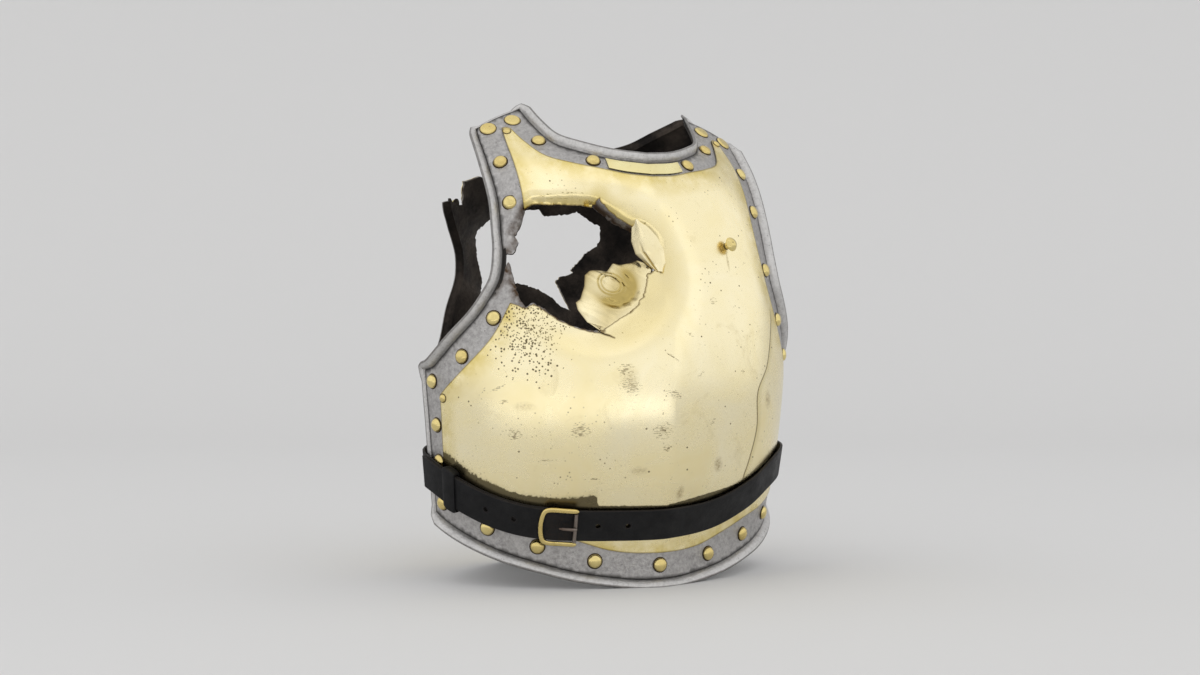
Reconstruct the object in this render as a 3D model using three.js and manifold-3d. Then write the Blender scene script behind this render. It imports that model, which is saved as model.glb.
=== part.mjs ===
import * as THREE from 'three';
import Module from 'manifold-3d';
import { mergeVertices } from 'three/addons/utils/BufferGeometryUtils.js';

// Heavy-cavalry cuirass: a breastplate and a backplate of steel, each faced with brass,
// bordered with brass rivets, holed right through by a cannon ball and held by a waist belt.
// Millimetres, +Z up, the breast faces -Y and the wearer's right side is at -X.

// driving dimensions
const LIFT = -2.3; // brings the lowest rims just under the ground, where they are filed flat
const SHIFT_Y = 11.63; // centres the whole on its footprint
const BREAST_STEEL = 2.8;
const BACK_STEEL = 1.8;
const BRASS = 1.0;
const GAP = 0.3;
const BACK_REACH = 40; // how far forward of the middle the flanks of the backplate start
const BACK_TUCK = 7; // backplate narrower than the breastplate on each side
const RIVET_R = 6.2;
const RIVET_H = 3.8;
const FLAT_RIVET_R = 7.2;
const FLAT_RIVET_H = 1.8;
const SMALL_RIVET_R = 3.6;
const SMALL_RIVET_H = 2.2;
const STRAP_HALF = 14.5;
const STRAP = 2.5;
const DISH = 32; // how deep the plate is driven in
const SHOT_SLEW = 0.26; // sideways run of the ball per millimetre of travel

// torso sections: height, half width, breast depth, shift back, keel, back depth
const TORSO = [
  [-10, 169, 113, 0, 13, 90],
  [0, 170, 112, 0, 13, 90],
  [50, 175, 113, -1, 11, 84],
  [100, 180, 130, -2, 10, 88],
  [150, 185, 140, -3, 8, 98],
  [200, 189, 143, -2, 8, 108],
  [260, 186.5, 142.5, 1, 7.5, 117],
  [320, 180, 131, 5, 7.5, 120],
  [360, 173, 119, 8, 7.5, 116],
  [390, 166.5, 101.5, 12, 8, 108],
  [415, 160.5, 73, 15, 8, 96],
  [440, 154, 41.5, 18, 8, 80],
  [470, 146, 6, 22, 8, 56],
];

// plate outlines, one half: degrees round from the middle, height
const BREAST_PLATE = {
  bottom: [[0, 9], [7, 9], [17, 12.5], [26, 17], [37, 25], [50, 35], [66, 50], [84, 68]],
  side: [[84, 68], [84.5, 126], [84, 199]],
  arm: [[84, 199], [78, 203], [64.6, 232], [58.5, 247.5], [54, 264], [50.8, 281], [49.9, 305],
    [50.3, 323], [51.8, 353], [56, 390], [60, 424]],
  tip: [[60, 424], [48, 436], [36.6, 446]],
  neck: [[36.6, 446], [32.5, 424], [28.5, 410], [21.5, 402], [11, 394], [0, 390.5]],
};
const BREAST_FACING = {
  bottom: [[0, 32.5], [8, 33], [16, 36.5], [26, 46], [38, 57.5], [50, 66], [62, 77], [75.5, 92]],
  side: [[75.5, 92], [75.8, 126], [75, 177]],
  arm: [[75, 177], [63, 202.5], [53.8, 227], [48.2, 252], [44.6, 275], [42.8, 300], [42, 325],
    [42.2, 345], [43.6, 367], [46.2, 401], [47.2, 424]],
  tip: [[47.2, 424], [45.2, 425], [43.2, 424]],
  neck: [[43.2, 424], [39, 410], [33.3, 396], [25, 389], [16.3, 384], [8, 379], [0, 377]],
};
const BACK_PLATE = {
  bottom: [[0, 7.7], [12, 7.7], [26, 20], [42, 37], [56, 50], [70, 59], [84, 63]],
  side: [[84, 63], [84.5, 120], [84, 186]],
  arm: [[84, 186], [64, 194], [50, 206], [43.5, 224], [39, 256], [34, 285], [33.3, 304],
    [35.2, 320], [43.8, 346], [50.7, 363], [57, 398], [62, 432]],
  tip: [[62, 432], [56, 441], [50, 450]],
  neck: [[50, 450], [36.5, 437], [25, 424], [12, 416.5], [0, 414]],
};
const BACK_FACING = {
  bottom: [[0, 31], [12, 32], [26, 43], [42, 60], [56, 73], [74, 85]],
  side: [[74, 85], [74.5, 120], [73, 163]],
  arm: [[73, 163], [56, 174], [42, 189], [34, 212], [30, 245], [25.5, 275], [24, 304],
    [26, 328], [34, 352], [41.5, 376], [48, 402], [52.5, 424]],
  tip: [[52.5, 424], [51, 426.5], [49, 425.5]],
  neck: [[49, 425.5], [36, 414.5], [25, 406], [12, 399], [0, 396]],
};

// turned-out rims: length, degrees of turn
const BREAST_RIMS = { bottom: [8.5, 50], side: [3.5, 40], arm: [8.5, 58], tip: [1.2, 0], neck: [8.5, 62] };
const BACK_RIMS = { bottom: [6, 35], side: [2, 0], arm: [6, 50], tip: [1.2, 0], neck: [6, 50] };

// torn outlines where the ball went through: x, z
const BREAST_HOLE = [
  [-141, 305], [-131, 309], [-130, 313], [-124, 320], [-128, 325], [-119, 338], [-117, 347], [-111, 350],
  [-90, 350], [-70, 349], [-61, 346], [-57, 345], [-42, 335], [-27, 326], [-12, 310], [-5, 291],
  [-12, 270], [-24, 250], [-40, 240], [-56, 229], [-62, 234], [-77, 234], [-88, 240], [-101, 245],
  [-113, 254], [-120, 259], [-126, 256], [-130, 268], [-134, 283], [-136, 297], [-141, 284], [-150, 266],
  [-149, 275], [-144, 288],
];
const BACK_HOLE = [
  [-87, 331], [-85, 338], [-71, 350], [-58, 352], [-44, 361], [-15, 363], [-8, 356], [21, 359],
  [41, 353], [55, 333], [53, 326], [42, 319], [33, 308], [25, 301], [8, 288], [15, 272],
  [21, 257], [10, 262], [1, 271], [-19, 281], [-38, 286], [-60, 280], [-74, 262], [-82, 269],
  [-79, 288], [-84, 308],
];
const SHOULDER_TEAR = [
  [-160, 352], [-136, 363], [-126, 366], [-119, 361], [-110, 362], [-110, 384], [-92, 391], [-84, 389],
  [-72, 399], [-78, 412], [-66, 420], [-70, 436], [-60, 480], [-190, 480], [-190, 352],
];

// smooth interpolation of every column by the first one
function at(rows, u) {
  const last = rows.length - 1;
  let i = 0;
  while (i < last - 1 && u > rows[i + 1][0]) i += 1;
  const h = rows[i + 1][0] - rows[i][0];
  const t = (u - rows[i][0]) / h;
  const slope = (m, n, c) => (rows[n][c] - rows[m][c]) / (rows[n][0] - rows[m][0]);
  return rows[i].map((v, c) => {
    const s0 = slope(Math.max(i - 1, 0), i + 1, c) * h;
    const s1 = slope(i, Math.min(i + 2, last), c) * h;
    const w = rows[i + 1][c];
    return v + t * s0 + t * t * (3 * (w - v) - 2 * s0 - s1) + t * t * t * (2 * (v - w) + s0 + s1);
  });
}

const rad = (deg) => (deg * Math.PI) / 180;

// the plate is driven in round the shot hole, most on the side towards the keel
function dish(x, z) {
  const u = (x + 76) / 66;
  const v = (z - 290) / 58;
  const r = Math.hypot(u, v);
  const side = 0.5 + 0.5 * Math.cos(Math.atan2(v, u) + 0.25);
  return DISH * side * Math.exp(-((Math.max(r - 0.85, 0) / 0.42) ** 2));
}

// the backplate is burst outwards round its own hole
function burst(x, z) {
  const r = Math.hypot((x + 18) / 74, (z - 312) / 52);
  return 12 * Math.exp(-((Math.max(r - 0.9, 0) / 0.3) ** 2));
}

function breast(deg, z) {
  const [, w, d, shift, keel] = at(TORSO, z);
  const x = w * Math.sin(rad(deg));
  const y = shift - d * Math.cos(rad(deg)) - keel * Math.exp(-Math.sqrt(x * x + 16) / 40);
  return new THREE.Vector3(x, y + dish(x, z) + SHIFT_Y, z + LIFT);
}

function back(deg, z) {
  const [, w, , , , b] = at(TORSO, z);
  const x = (w - BACK_TUCK) * Math.sign(deg) * Math.abs(Math.sin(rad(deg))) ** 0.85;
  const round = Math.max(Math.cos(rad(deg)), 0) ** 0.8;
  const y = -BACK_REACH + (b + BACK_REACH) * round - 6 * Math.exp(-((x / 28) ** 2));
  return new THREE.Vector3(x, y + burst(x, z) + SHIFT_Y, z + LIFT);
}

// closed hoop that the belt follows: the breast in front, the flanks behind
function hoop(deg, z) {
  const [, w, d, shift, keel, b] = at(TORSO, z);
  const x = w * Math.sin(rad(deg));
  const c = Math.cos(rad(deg));
  const depth = c > 0 ? d : b;
  const y = shift - depth * c - keel * Math.exp(-Math.sqrt(x * x + 16) / 40);
  return new THREE.Vector3(x, y + SHIFT_Y, z + LIFT);
}

// outward unit normal by differences
function normal(surface, deg, z) {
  const a = surface(deg + 0.2, z).sub(surface(deg - 0.2, z));
  const b = surface(deg, z + 0.5).sub(surface(deg, z - 0.5));
  const n = a.cross(b).normalize();
  return surface === back ? n.negate() : n;
}

function lifted(surface, deg, z, off) {
  return surface(deg, z).addScaledVector(normal(surface, deg, z), off);
}

// n + 1 points evenly along a smooth curve through the rows
function run(rows, n) {
  const keyed = [[0, ...rows[0]]];
  for (let i = 1; i < rows.length; i += 1) {
    const step = Math.hypot((rows[i][0] - rows[i - 1][0]) * 2.8, rows[i][1] - rows[i - 1][1]);
    keyed.push([keyed[i - 1][0] + step, ...rows[i]]);
  }
  const total = keyed[keyed.length - 1][0];
  const out = [];
  for (let k = 0; k <= n; k += 1) {
    const [, deg, z] = at(keyed, (total * k) / n);
    out.push([deg, z]);
  }
  return out;
}

const mirrored = (half) => half.map(([deg, z]) => [-deg, z]);

// four edges of an outline as rows of nodes; half, side, arm and tip are cell counts
function edges(outline, half, side, arm, tip) {
  const low = run(outline.bottom, half);
  const flank = run(outline.side, side).concat(run(outline.arm, arm).slice(1));
  const high = run(outline.tip, tip).concat(run(outline.neck, half - tip).slice(1));
  return {
    bottom: mirrored(low).reverse().concat(low.slice(1)),
    top: mirrored(high).concat(high.slice(0, -1).reverse()),
    left: mirrored(flank),
    right: flank,
  };
}

// transfinite blend of the four edges
function blend({ bottom, top, left, right }) {
  const cols = bottom.length - 1;
  const rows = left.length - 1;
  return left.map((_, j) => bottom.map((__, i) => [0, 1].map((c) => {
    const s = i / cols;
    const t = j / rows;
    const corners = (1 - t) * ((1 - s) * bottom[0][c] + s * bottom[cols][c])
      + t * ((1 - s) * top[0][c] + s * top[cols][c]);
    return (1 - t) * bottom[i][c] + t * top[i][c] + (1 - s) * left[j][c] + s * right[j][c] - corners;
  })));
}

// closed geometry from quads given as corner points
class Skin {
  constructor() {
    this.points = [];
  }

  tri(a, b, c) {
    this.points.push(...a.toArray(), ...b.toArray(), ...c.toArray());
  }

  quad(a, b, c, d) {
    this.tri(a, b, c);
    this.tri(a, c, d);
  }

  sheet(grid, flip) {
    for (let j = 0; j < grid.length - 1; j += 1) {
      for (let i = 0; i < grid[j].length - 1; i += 1) {
        const ring = [grid[j][i], grid[j][i + 1], grid[j + 1][i + 1], grid[j + 1][i]];
        if (2 * i >= grid[j].length - 1) ring.push(ring.shift());
        const [a, b, c, d] = ring;
        if (flip) this.quad(a, d, c, b);
        else this.quad(a, b, c, d);
      }
    }
  }

  strip(a, b) {
    a.forEach((p, k) => {
      const m = (k + 1) % a.length;
      this.quad(p, b[k], b[m], a[m]);
    });
  }

  geometry() {
    const g = new THREE.BufferGeometry();
    g.setAttribute('position', new THREE.Float32BufferAttribute(this.points, 3));
    return mergeVertices(g, 1e-4);
  }
}

// nodes round the edge of a grid, counter-clockwise
function rimOf(grid) {
  const last = grid.length - 1;
  const end = grid[0].length - 1;
  return [
    ...grid[0].slice(0, end),
    ...grid.slice(0, last).map((row) => row[end]),
    ...grid[last].slice(1).reverse(),
    ...grid.slice(1).map((row) => row[0]).reverse(),
  ];
}

// thin shell over a grid of nodes, from one offset to another
function shell(surface, nodes, from, to) {
  const lay = (off) => nodes.map((row) => row.map(([deg, z]) => lifted(surface, deg, z, off)));
  const outer = lay(to);
  const inner = lay(from);
  const skin = new Skin();
  const turn = surface === back;
  skin.sheet(outer, turn);
  skin.sheet(inner, !turn);
  if (turn) skin.strip(rimOf(inner), rimOf(outer));
  else skin.strip(rimOf(outer), rimOf(inner));
  return skin.geometry();
}

// steel plate with its turned-out rim: inner nodes carry the facing, the outer loop the rim
function plate(surface, nodes, outline, rims, count, thick) {
  const { bottom, top, left, right } = edges(outline, count.half + 1, count.side + 1, count.arm + 1, 2);
  const grid = nodes.map((row, j) => [left[j + 1], ...row, right[j + 1]]);
  grid.unshift(bottom);
  grid.push(top);
  const kinds = [];
  const side = [...Array(count.side + 1).fill('side'), ...Array(count.arm + 1).fill('arm')];
  const head = ['tip', 'tip', ...Array(2 * count.half - 2).fill('neck'), 'tip', 'tip'];
  kinds.push(...Array(2 * count.half + 2).fill('bottom'), ...side, ...head, ...side.slice().reverse());
  const turn = surface === back ? -1 : 1;
  const flat = rimOf(grid);
  const outer = grid.map((row) => row.map(([deg, z]) => surface(deg, z)));
  const root = rimOf(outer);
  const total = flat.length;
  const lip = [];
  const heel = [];
  const lipIn = [];
  root.forEach((p, k) => {
    const [deg, z] = flat[k];
    const n = normal(surface, deg, z);
    const along = root[(k + 1) % total].clone().sub(root[(k + total - 1) % total]);
    const out = along.cross(n).normalize().multiplyScalar(turn);
    const [l0, a0] = rims[kinds[k]];
    const [l1, a1] = rims[kinds[(k + total - 1) % total]];
    const pick = surface === back ? Math.min : Math.max;
    const angle = rad(pick(a0, a1));
    const length = pick(l0, l1);
    const dir = out.clone().multiplyScalar(Math.cos(angle)).addScaledVector(n, Math.sin(angle));
    const face = n.clone().multiplyScalar(Math.cos(angle)).addScaledVector(out, -Math.sin(angle));
    const mid = n.clone().add(face).normalize();
    lip.push(p.clone().addScaledVector(dir, length));
    lipIn.push(p.clone().addScaledVector(dir, length).addScaledVector(face, -thick));
    heel.push(p.clone().addScaledVector(mid, -thick / Math.cos(angle / 2)));
  });
  const inner = grid.map((row) => row.map(([deg, z]) => lifted(surface, deg, z, -thick)));
  const last = inner.length - 1;
  const end = inner[0].length - 1;
  heel.forEach((p, k) => {
    if (k < end) inner[0][k] = p;
    else if (k < end + last) inner[k - end][end] = p;
    else if (k < 2 * end + last) inner[last][2 * end + last - k] = p;
    else inner[2 * (end + last) - k][0] = p;
  });
  const skin = new Skin();
  skin.sheet(outer, turn < 0);
  skin.sheet(inner, turn > 0);
  const loops = turn > 0 ? [root, lip, lipIn, heel] : [heel, lipIn, lip, root];
  skin.strip(loops[0], loops[1]);
  skin.strip(loops[1], loops[2]);
  skin.strip(loops[2], loops[3]);
  return skin.geometry();
}

const wasm = await Module();
wasm.setup();

function solid(geometry) {
  const g = geometry.clone();
  g.deleteAttribute('normal');
  g.deleteAttribute('uv');
  const m = mergeVertices(g, 1e-4);
  return new wasm.Manifold(new wasm.Mesh({
    numProp: 3,
    vertProperties: new Float32Array(m.attributes.position.array),
    triVerts: new Uint32Array(m.index.array),
  }));
}

function surfaceOf(manifold) {
  const m = manifold.getMesh();
  const g = new THREE.BufferGeometry();
  g.setAttribute('position', new THREE.BufferAttribute(new Float32Array(m.vertProperties), 3));
  g.setIndex(new THREE.BufferAttribute(new Uint32Array(m.triVerts), 1));
  return g;
}

// what stays in one piece after a cut
function largest(manifold) {
  return manifold.decompose().sort((a, b) => b.volume() - a.volume())[0];
}

// straight jagged cut along the path of the ball, through the outline where it crosses y = at
function shotCut(outline, level, near, far) {
  const shape = new THREE.Shape(outline.map(([x, z]) => new THREE.Vector2(x, z)));
  const g = new THREE.ExtrudeGeometry(shape, { depth: far - near, bevelEnabled: false, steps: 1 });
  const m = new THREE.Matrix4().set(
    1, 0, -SHOT_SLEW, SHOT_SLEW * (far - level),
    0, 0, -1, far + SHIFT_Y,
    0, 1, 0, LIFT,
    0, 0, 0, 1,
  );
  g.applyMatrix4(m);
  return solid(g);
}

const BRASS_LOOK = { color: 0xd9c47a, roughness: 0.22, metalness: 1 };
const STEEL_LOOK = { color: 0x8b8a90, roughness: 0.5, metalness: 1 };
const DARK_STEEL_LOOK = { color: 0x3a3634, roughness: 0.6, metalness: 0.9 };
const LEATHER_LOOK = { color: 0x17181b, roughness: 0.55, metalness: 0 };

const group = new THREE.Group();
group.name = 'cuirass';

function put(name, geometry, look) {
  const g = geometry.index ? geometry.toNonIndexed() : geometry.clone();
  g.deleteAttribute('normal');
  g.computeVertexNormals();
  const mesh = new THREE.Mesh(g, new THREE.MeshStandardMaterial(look));
  mesh.name = name;
  group.add(mesh);
}

// breastplate: steel, then the brass facing on the same nodes
const BREAST_CELLS = { half: 12, side: 3, arm: 12 };
const breastNodes = blend(edges(BREAST_FACING, BREAST_CELLS.half, BREAST_CELLS.side, BREAST_CELLS.arm, 1));
const breastCut = shotCut(BREAST_HOLE, -100, -190, 0);
const breastSteel = plate(breast, breastNodes, BREAST_PLATE, BREAST_RIMS, BREAST_CELLS, BREAST_STEEL);
const ground = solid(new THREE.BoxGeometry(500, 400, 20).translate(0, 0, -10));
put('breast_steel', surfaceOf(largest(solid(breastSteel).subtract(breastCut).subtract(ground))), STEEL_LOOK);
const breastBrass = shell(breast, breastNodes, GAP, GAP + BRASS);
put('breast_brass', surfaceOf(largest(solid(breastBrass).subtract(breastCut))), BRASS_LOOK);

// domed rivet standing on a surface
function rivet(surface, deg, z, radius, height, seat, sides) {
  const profile = [[0, 0], [radius, 0], [radius * 0.9, height * 0.5], [radius * 0.5, height * 0.9],
    [0, height]].map(([r, h]) => new THREE.Vector2(r, h));
  const g = new THREE.LatheGeometry(profile, sides);
  const n = normal(surface, deg, z);
  const turn = new THREE.Quaternion().setFromUnitVectors(new THREE.Vector3(0, 1, 0), n);
  g.applyQuaternion(turn);
  const p = lifted(surface, deg, z, seat);
  g.translate(p.x, p.y, p.z);
  return g;
}

// backplate with its rivets struck into the border, then its facing
const BACK_CELLS = { half: 9, side: 3, arm: 9 };
const BACK_RIVETS = [[0, 20], [16, 21], [34, 40], [52, 58], [73, 72], [79, 105], [79, 145], [70, 177],
  [48, 195], [38, 224], [34, 256], [29, 290], [30.5, 325], [43, 360], [50, 392], [57.5, 428], [42, 433],
  [23, 414], [8, 406]];
const backNodes = blend(edges(BACK_FACING, BACK_CELLS.half, BACK_CELLS.side, BACK_CELLS.arm, 1));
let backSteel = solid(plate(back, backNodes, BACK_PLATE, BACK_RIMS, BACK_CELLS, BACK_STEEL));
for (const [deg, z] of BACK_RIVETS) {
  for (const side of deg === 0 ? [1] : [-1, 1]) {
    const head = rivet(back, side * deg, z, RIVET_R, RIVET_H + 0.9, -0.9, 6);
    backSteel = backSteel.add(solid(head));
  }
}
const backCut = shotCut(BACK_HOLE, 105, 20, 190).add(shotCut(SHOULDER_TEAR, 90, -60, 190));
put('back_steel', surfaceOf(largest(backSteel.subtract(backCut).subtract(ground))), DARK_STEEL_LOOK);
const backBrass = solid(shell(back, backNodes, GAP, GAP + BRASS));
put('back_brass', surfaceOf(largest(backBrass.subtract(backCut))), BRASS_LOOK);

// breast rivets: name, degrees round, height, kind
const BREAST_RIVETS = [
  ['neck_1', 41.2, 433.5, 'flat'],
  ['neck_2', 33.5, 411.5, 'dome'],
  ['neck_3', 17.4, 391.6, 'dome'],
  ['arm_1', 53.6, 424, 'flat'],
  ['arm_2', 50.5, 389.8, 'dome'],
  ['arm_3', 47.4, 351, 'dome'],
  ['arm_4', 46.3, 294, 'dome'],
  ['arm_5', 52.6, 246.4, 'dome'],
  ['arm_6', 64.4, 212, 'dome'],
  ['arm_7', 79.5, 189, 'dome'],
  ['side_1', 79, 149, 'dome'],
  ['side_2', 79, 115.5, 'dome'],
  ['bottom_1', 78.5, 77, 'dome'],
  ['bottom_2', 56.3, 56.5, 'low'],
  ['bottom_3', 38.2, 40.5, 'low'],
  ['bottom_4', 20, 26.6, 'low'],
  ['bottom_5', 0, 21.5, 'dome'],
  ['facing_top', 45.2, 420.5, 'small'],
  ['facing_side', 73.6, 174, 'small'],
];
const HEADS = {
  dome: [RIVET_R, RIVET_H, 0.35, 10],
  low: [RIVET_R, RIVET_H, 0.9, 10],
  flat: [FLAT_RIVET_R, FLAT_RIVET_H, 0.6, 10],
  small: [SMALL_RIVET_R, SMALL_RIVET_H, GAP + BRASS + 0.35, 8],
};
for (const [name, deg, z, kind] of BREAST_RIVETS) {
  const [radius, height, seat, sides] = HEADS[kind];
  for (const side of deg === 0 ? [1] : [-1, 1]) {
    const label = deg === 0 ? 'mid' : side < 0 ? 'right' : 'left';
    const torn = name === 'arm_4' && side < 0;
    if (!torn) {
      const head = rivet(breast, side * deg, z, radius, height, seat, sides);
      put(`rivet_${name}_${label}`, head, BRASS_LOOK);
    }
  }
}

// button that held the shoulder scale, standing on the wearer's left breast
const STUD = [[0, 0], [3.4, 0], [3.2, 4.5], [6.6, 5], [6.6, 6.4], [5, 8.8], [2.6, 10], [0, 10.4]];
const stud = new THREE.LatheGeometry(STUD.map(([r, h]) => new THREE.Vector2(r, h)), 16);
const studTurn = new THREE.Quaternion();
studTurn.setFromUnitVectors(new THREE.Vector3(0, 1, 0), normal(breast, 23.6, 314));
stud.applyQuaternion(studTurn);
stud.translate(...lifted(breast, 23.6, 314, GAP + BRASS + 0.35).toArray());
put('chest_stud', stud, BRASS_LOOK);

// thin label strip under the neck rim
const plaqueNodes = [0.14, 0.86].map((share) => {
  const low = run(BREAST_FACING.neck, 60);
  const high = run(BREAST_PLATE.neck, 60);
  const pick = (rows, deg) => rows.reduce((best, row) => (
    Math.abs(row[0] - deg) < Math.abs(best[0] - deg) ? row : best), rows[0]);
  return Array.from({ length: 11 }, (_, i) => {
    const deg = -13.2 + 2.64 * i;
    const [, a] = pick(low, Math.abs(deg));
    const [, b] = pick(high, Math.abs(deg));
    return [deg, a + (b - a) * share];
  });
});
put('neck_plaque', shell(breast, plaqueNodes, 0.8, 1.6), BRASS_LOOK);

// torn tongue between a root edge and a free edge, bowed between them
function tongue(rows, steps, bow, thick) {
  const grid = rows.map(([x0, y0, z0, x1, y1, z1]) => Array.from({ length: steps + 1 }, (_, i) => {
    const t = i / steps;
    const y = y0 + (y1 - y0) * t + bow * Math.sin(Math.PI * t);
    return new THREE.Vector3(x0 + (x1 - x0) * t, y + SHIFT_Y, z0 + (z1 - z0) * t + LIFT);
  }));
  const end = rows.length - 1;
  const inner = grid.map((row, j) => row.map((p, i) => {
    const up = grid[Math.min(j + 1, end)][i].clone().sub(grid[Math.max(j - 1, 0)][i]);
    const along = row[Math.min(i + 1, steps)].clone().sub(row[Math.max(i - 1, 0)]);
    return p.clone().addScaledVector(along.cross(up).normalize(), -thick);
  }));
  const skin = new Skin();
  skin.sheet(grid, false);
  skin.sheet(inner, true);
  skin.strip(rimOf(grid), rimOf(inner));
  return skin.geometry();
}

// rows from low to high; free edge first, root second so that the face looks forward
const CURLED_TONGUE = [
  [-66, -93, 244, -57, -106.5, 235.5],
  [-68, -86, 257, -43, -106, 241],
  [-62, -80, 270, -28, -108, 250],
  [-58, -80, 285, -18, -108, 262],
  [-42, -82, 294, -12, -110, 276],
  [-22, -88, 300, -11, -110, 289],
];
const EAR_TONGUE = [
  [-1, -106, 288, 3, -112, 286],
  [-4, -104, 299, 4, -113, 297],
  [-11, -101, 313, 2, -113, 308],
  [-18, -101, 324, -4, -111, 321],
  [-21, -104, 333, -14, -108, 331],
];
put('tongue_curled', tongue(CURLED_TONGUE, 4, -4, 2.2), BRASS_LOOK);
put('tongue_ear', tongue(EAR_TONGUE, 3, 2, 1.6), BRASS_LOOK);

// strap bent round the waist: degrees round, middle height, clearance under it
const BUCKLE_STRAP = [
  [-114, 116, -6.4], [-106, 115, -8.4], [-99, 114, -8.2], [-93, 112.5, -2.6], [-86, 109, 3.6],
  [-79, 103, 5], [-68, 90, 4.2], [-56, 76.5, 2.4], [-44, 67, 2.1], [-33, 62.8, 2.1],
];
const LONG_STRAP = [
  [-84, 107.5, 8.2], [-79, 103, 8.2], [-68, 90, 7.4], [-56, 76.5, 5.6], [-44, 67, 5.3], [-33, 62.8, 5.3],
  [-26, 61.5, 4], [-18, 60.5, 3.1], [0, 60.5, 2.9], [18, 66, 3.1], [36, 83, 3.2], [49, 99, 3.6],
  [62, 107, 4.4], [79, 111, 5.2], [86, 112.5, 4], [93, 114, -2.6], [99, 115, -8.2], [106, 116, -8.4],
  [114, 117, -6.4],
];

// closed bar of four-cornered sections: [low, high] across, [inner, outer] off the plate
function band(rows, from, to, cells, across, off) {
  const skin = new Skin();
  const rings = Array.from({ length: cells + 1 }, (_, k) => {
    const deg = from + ((to - from) * k) / cells;
    const [, z, rest] = at(rows, deg);
    const corner = (a, o) => hoopOff(deg, z + a, rest + o);
    return [
      corner(across[0], off[1]),
      corner(across[1], off[1]),
      corner(across[1], off[0]),
      corner(across[0], off[0]),
    ];
  });
  rings.slice(0, -1).forEach((ring, k) => skin.strip(ring, rings[k + 1]));
  skin.quad(...rings[0]);
  skin.quad(...rings[cells].reverse());
  return skin.geometry();
}

function hoopOff(deg, z, off) {
  return hoop(deg, z).addScaledVector(normal(hoop, deg, z), off);
}

const ACROSS = [-STRAP_HALF, STRAP_HALF];
put('belt_buckle_strap', band(BUCKLE_STRAP, -114, -33, 14, ACROSS, [0, STRAP]), LEATHER_LOOK);
put('belt_long_strap', band(LONG_STRAP, -84, 114, 33, ACROSS, [0, STRAP]), LEATHER_LOOK);

// keeper round both straps
const keeperOuter = solid(band(BUCKLE_STRAP, -72.5, -67.5, 2, [-17.6, 17.6], [-2.2, 2 * STRAP + 2.9]));
const keeperInner = solid(band(BUCKLE_STRAP, -74, -66, 2, [-15, 15], [-0.4, 2 * STRAP + 1]));
put('belt_keeper', surfaceOf(keeperOuter.subtract(keeperInner)), LEATHER_LOOK);

// buckle: brass three-sided frame, steel bar across its open side, tongue on the bar
const BUCKLE_AT = -31.5;
const BUCKLE_HALF = 18;
const BUCKLE_BACK = -17;
const BUCKLE_FRONT = 17;
const BUCKLE_BAR = 4.2;
const BUCKLE_THICK = 3;
function placeBuckle(geometry, off) {
  const [, z] = at(LONG_STRAP, BUCKLE_AT);
  const n = normal(hoop, BUCKLE_AT, z);
  const along = hoop(BUCKLE_AT + 1, z - 0.2).sub(hoop(BUCKLE_AT - 1, z + 0.2)).normalize();
  const up = n.clone().cross(along).normalize();
  const m = new THREE.Matrix4().makeBasis(up.clone().cross(n).normalize(), up, n);
  const p = hoopOff(BUCKLE_AT, z, off);
  m.setPosition(p);
  geometry.applyMatrix4(m);
  return geometry;
}
const frame = new THREE.Shape();
frame.moveTo(BUCKLE_FRONT, -BUCKLE_HALF);
frame.lineTo(BUCKLE_FRONT, -BUCKLE_HALF + BUCKLE_BAR);
frame.lineTo(BUCKLE_BACK + 5, -BUCKLE_HALF + BUCKLE_BAR);
frame.quadraticCurveTo(BUCKLE_BACK + 0.5, 0, BUCKLE_BACK + 5, BUCKLE_HALF - BUCKLE_BAR);
frame.lineTo(BUCKLE_FRONT, BUCKLE_HALF - BUCKLE_BAR);
frame.lineTo(BUCKLE_FRONT, BUCKLE_HALF);
frame.lineTo(BUCKLE_BACK + 1.5, BUCKLE_HALF);
frame.quadraticCurveTo(BUCKLE_BACK - 4, 0, BUCKLE_BACK + 1.5, -BUCKLE_HALF);
const frameDepth = { depth: BUCKLE_THICK, bevelEnabled: false, curveSegments: 6 };
const frameBody = new THREE.ExtrudeGeometry(frame, frameDepth);
put('buckle_frame', placeBuckle(frameBody, 8.7), BRASS_LOOK);
const barLength = 2 * (BUCKLE_HALF - BUCKLE_BAR - GAP);
const bar = new THREE.CylinderGeometry(1.7, 1.7, barLength, 10);
bar.translate(BUCKLE_FRONT - 2.4, 0, 1.8);
put('buckle_bar', placeBuckle(bar, 8.7), STEEL_LOOK);
const prong = new THREE.CylinderGeometry(1.3, 1.5, 16, 8);
prong.rotateZ(Math.PI / 2);
prong.translate(BUCKLE_FRONT - 9, 0, 5.4);
put('buckle_prong', placeBuckle(prong, 8.7), STEEL_LOOK);

// rivets that fix the strap ends to the flanks of the backplate
for (const [name, deg, rows] of [['right', -110, BUCKLE_STRAP], ['left', 110, LONG_STRAP]]) {
  const [, z, rest] = at(rows, deg);
  put(`belt_rivet_${name}`, rivet(hoop, deg, z, 5, 2.6, rest + STRAP + 0.6, 10), BRASS_LOOK);
}

export default group;
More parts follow.
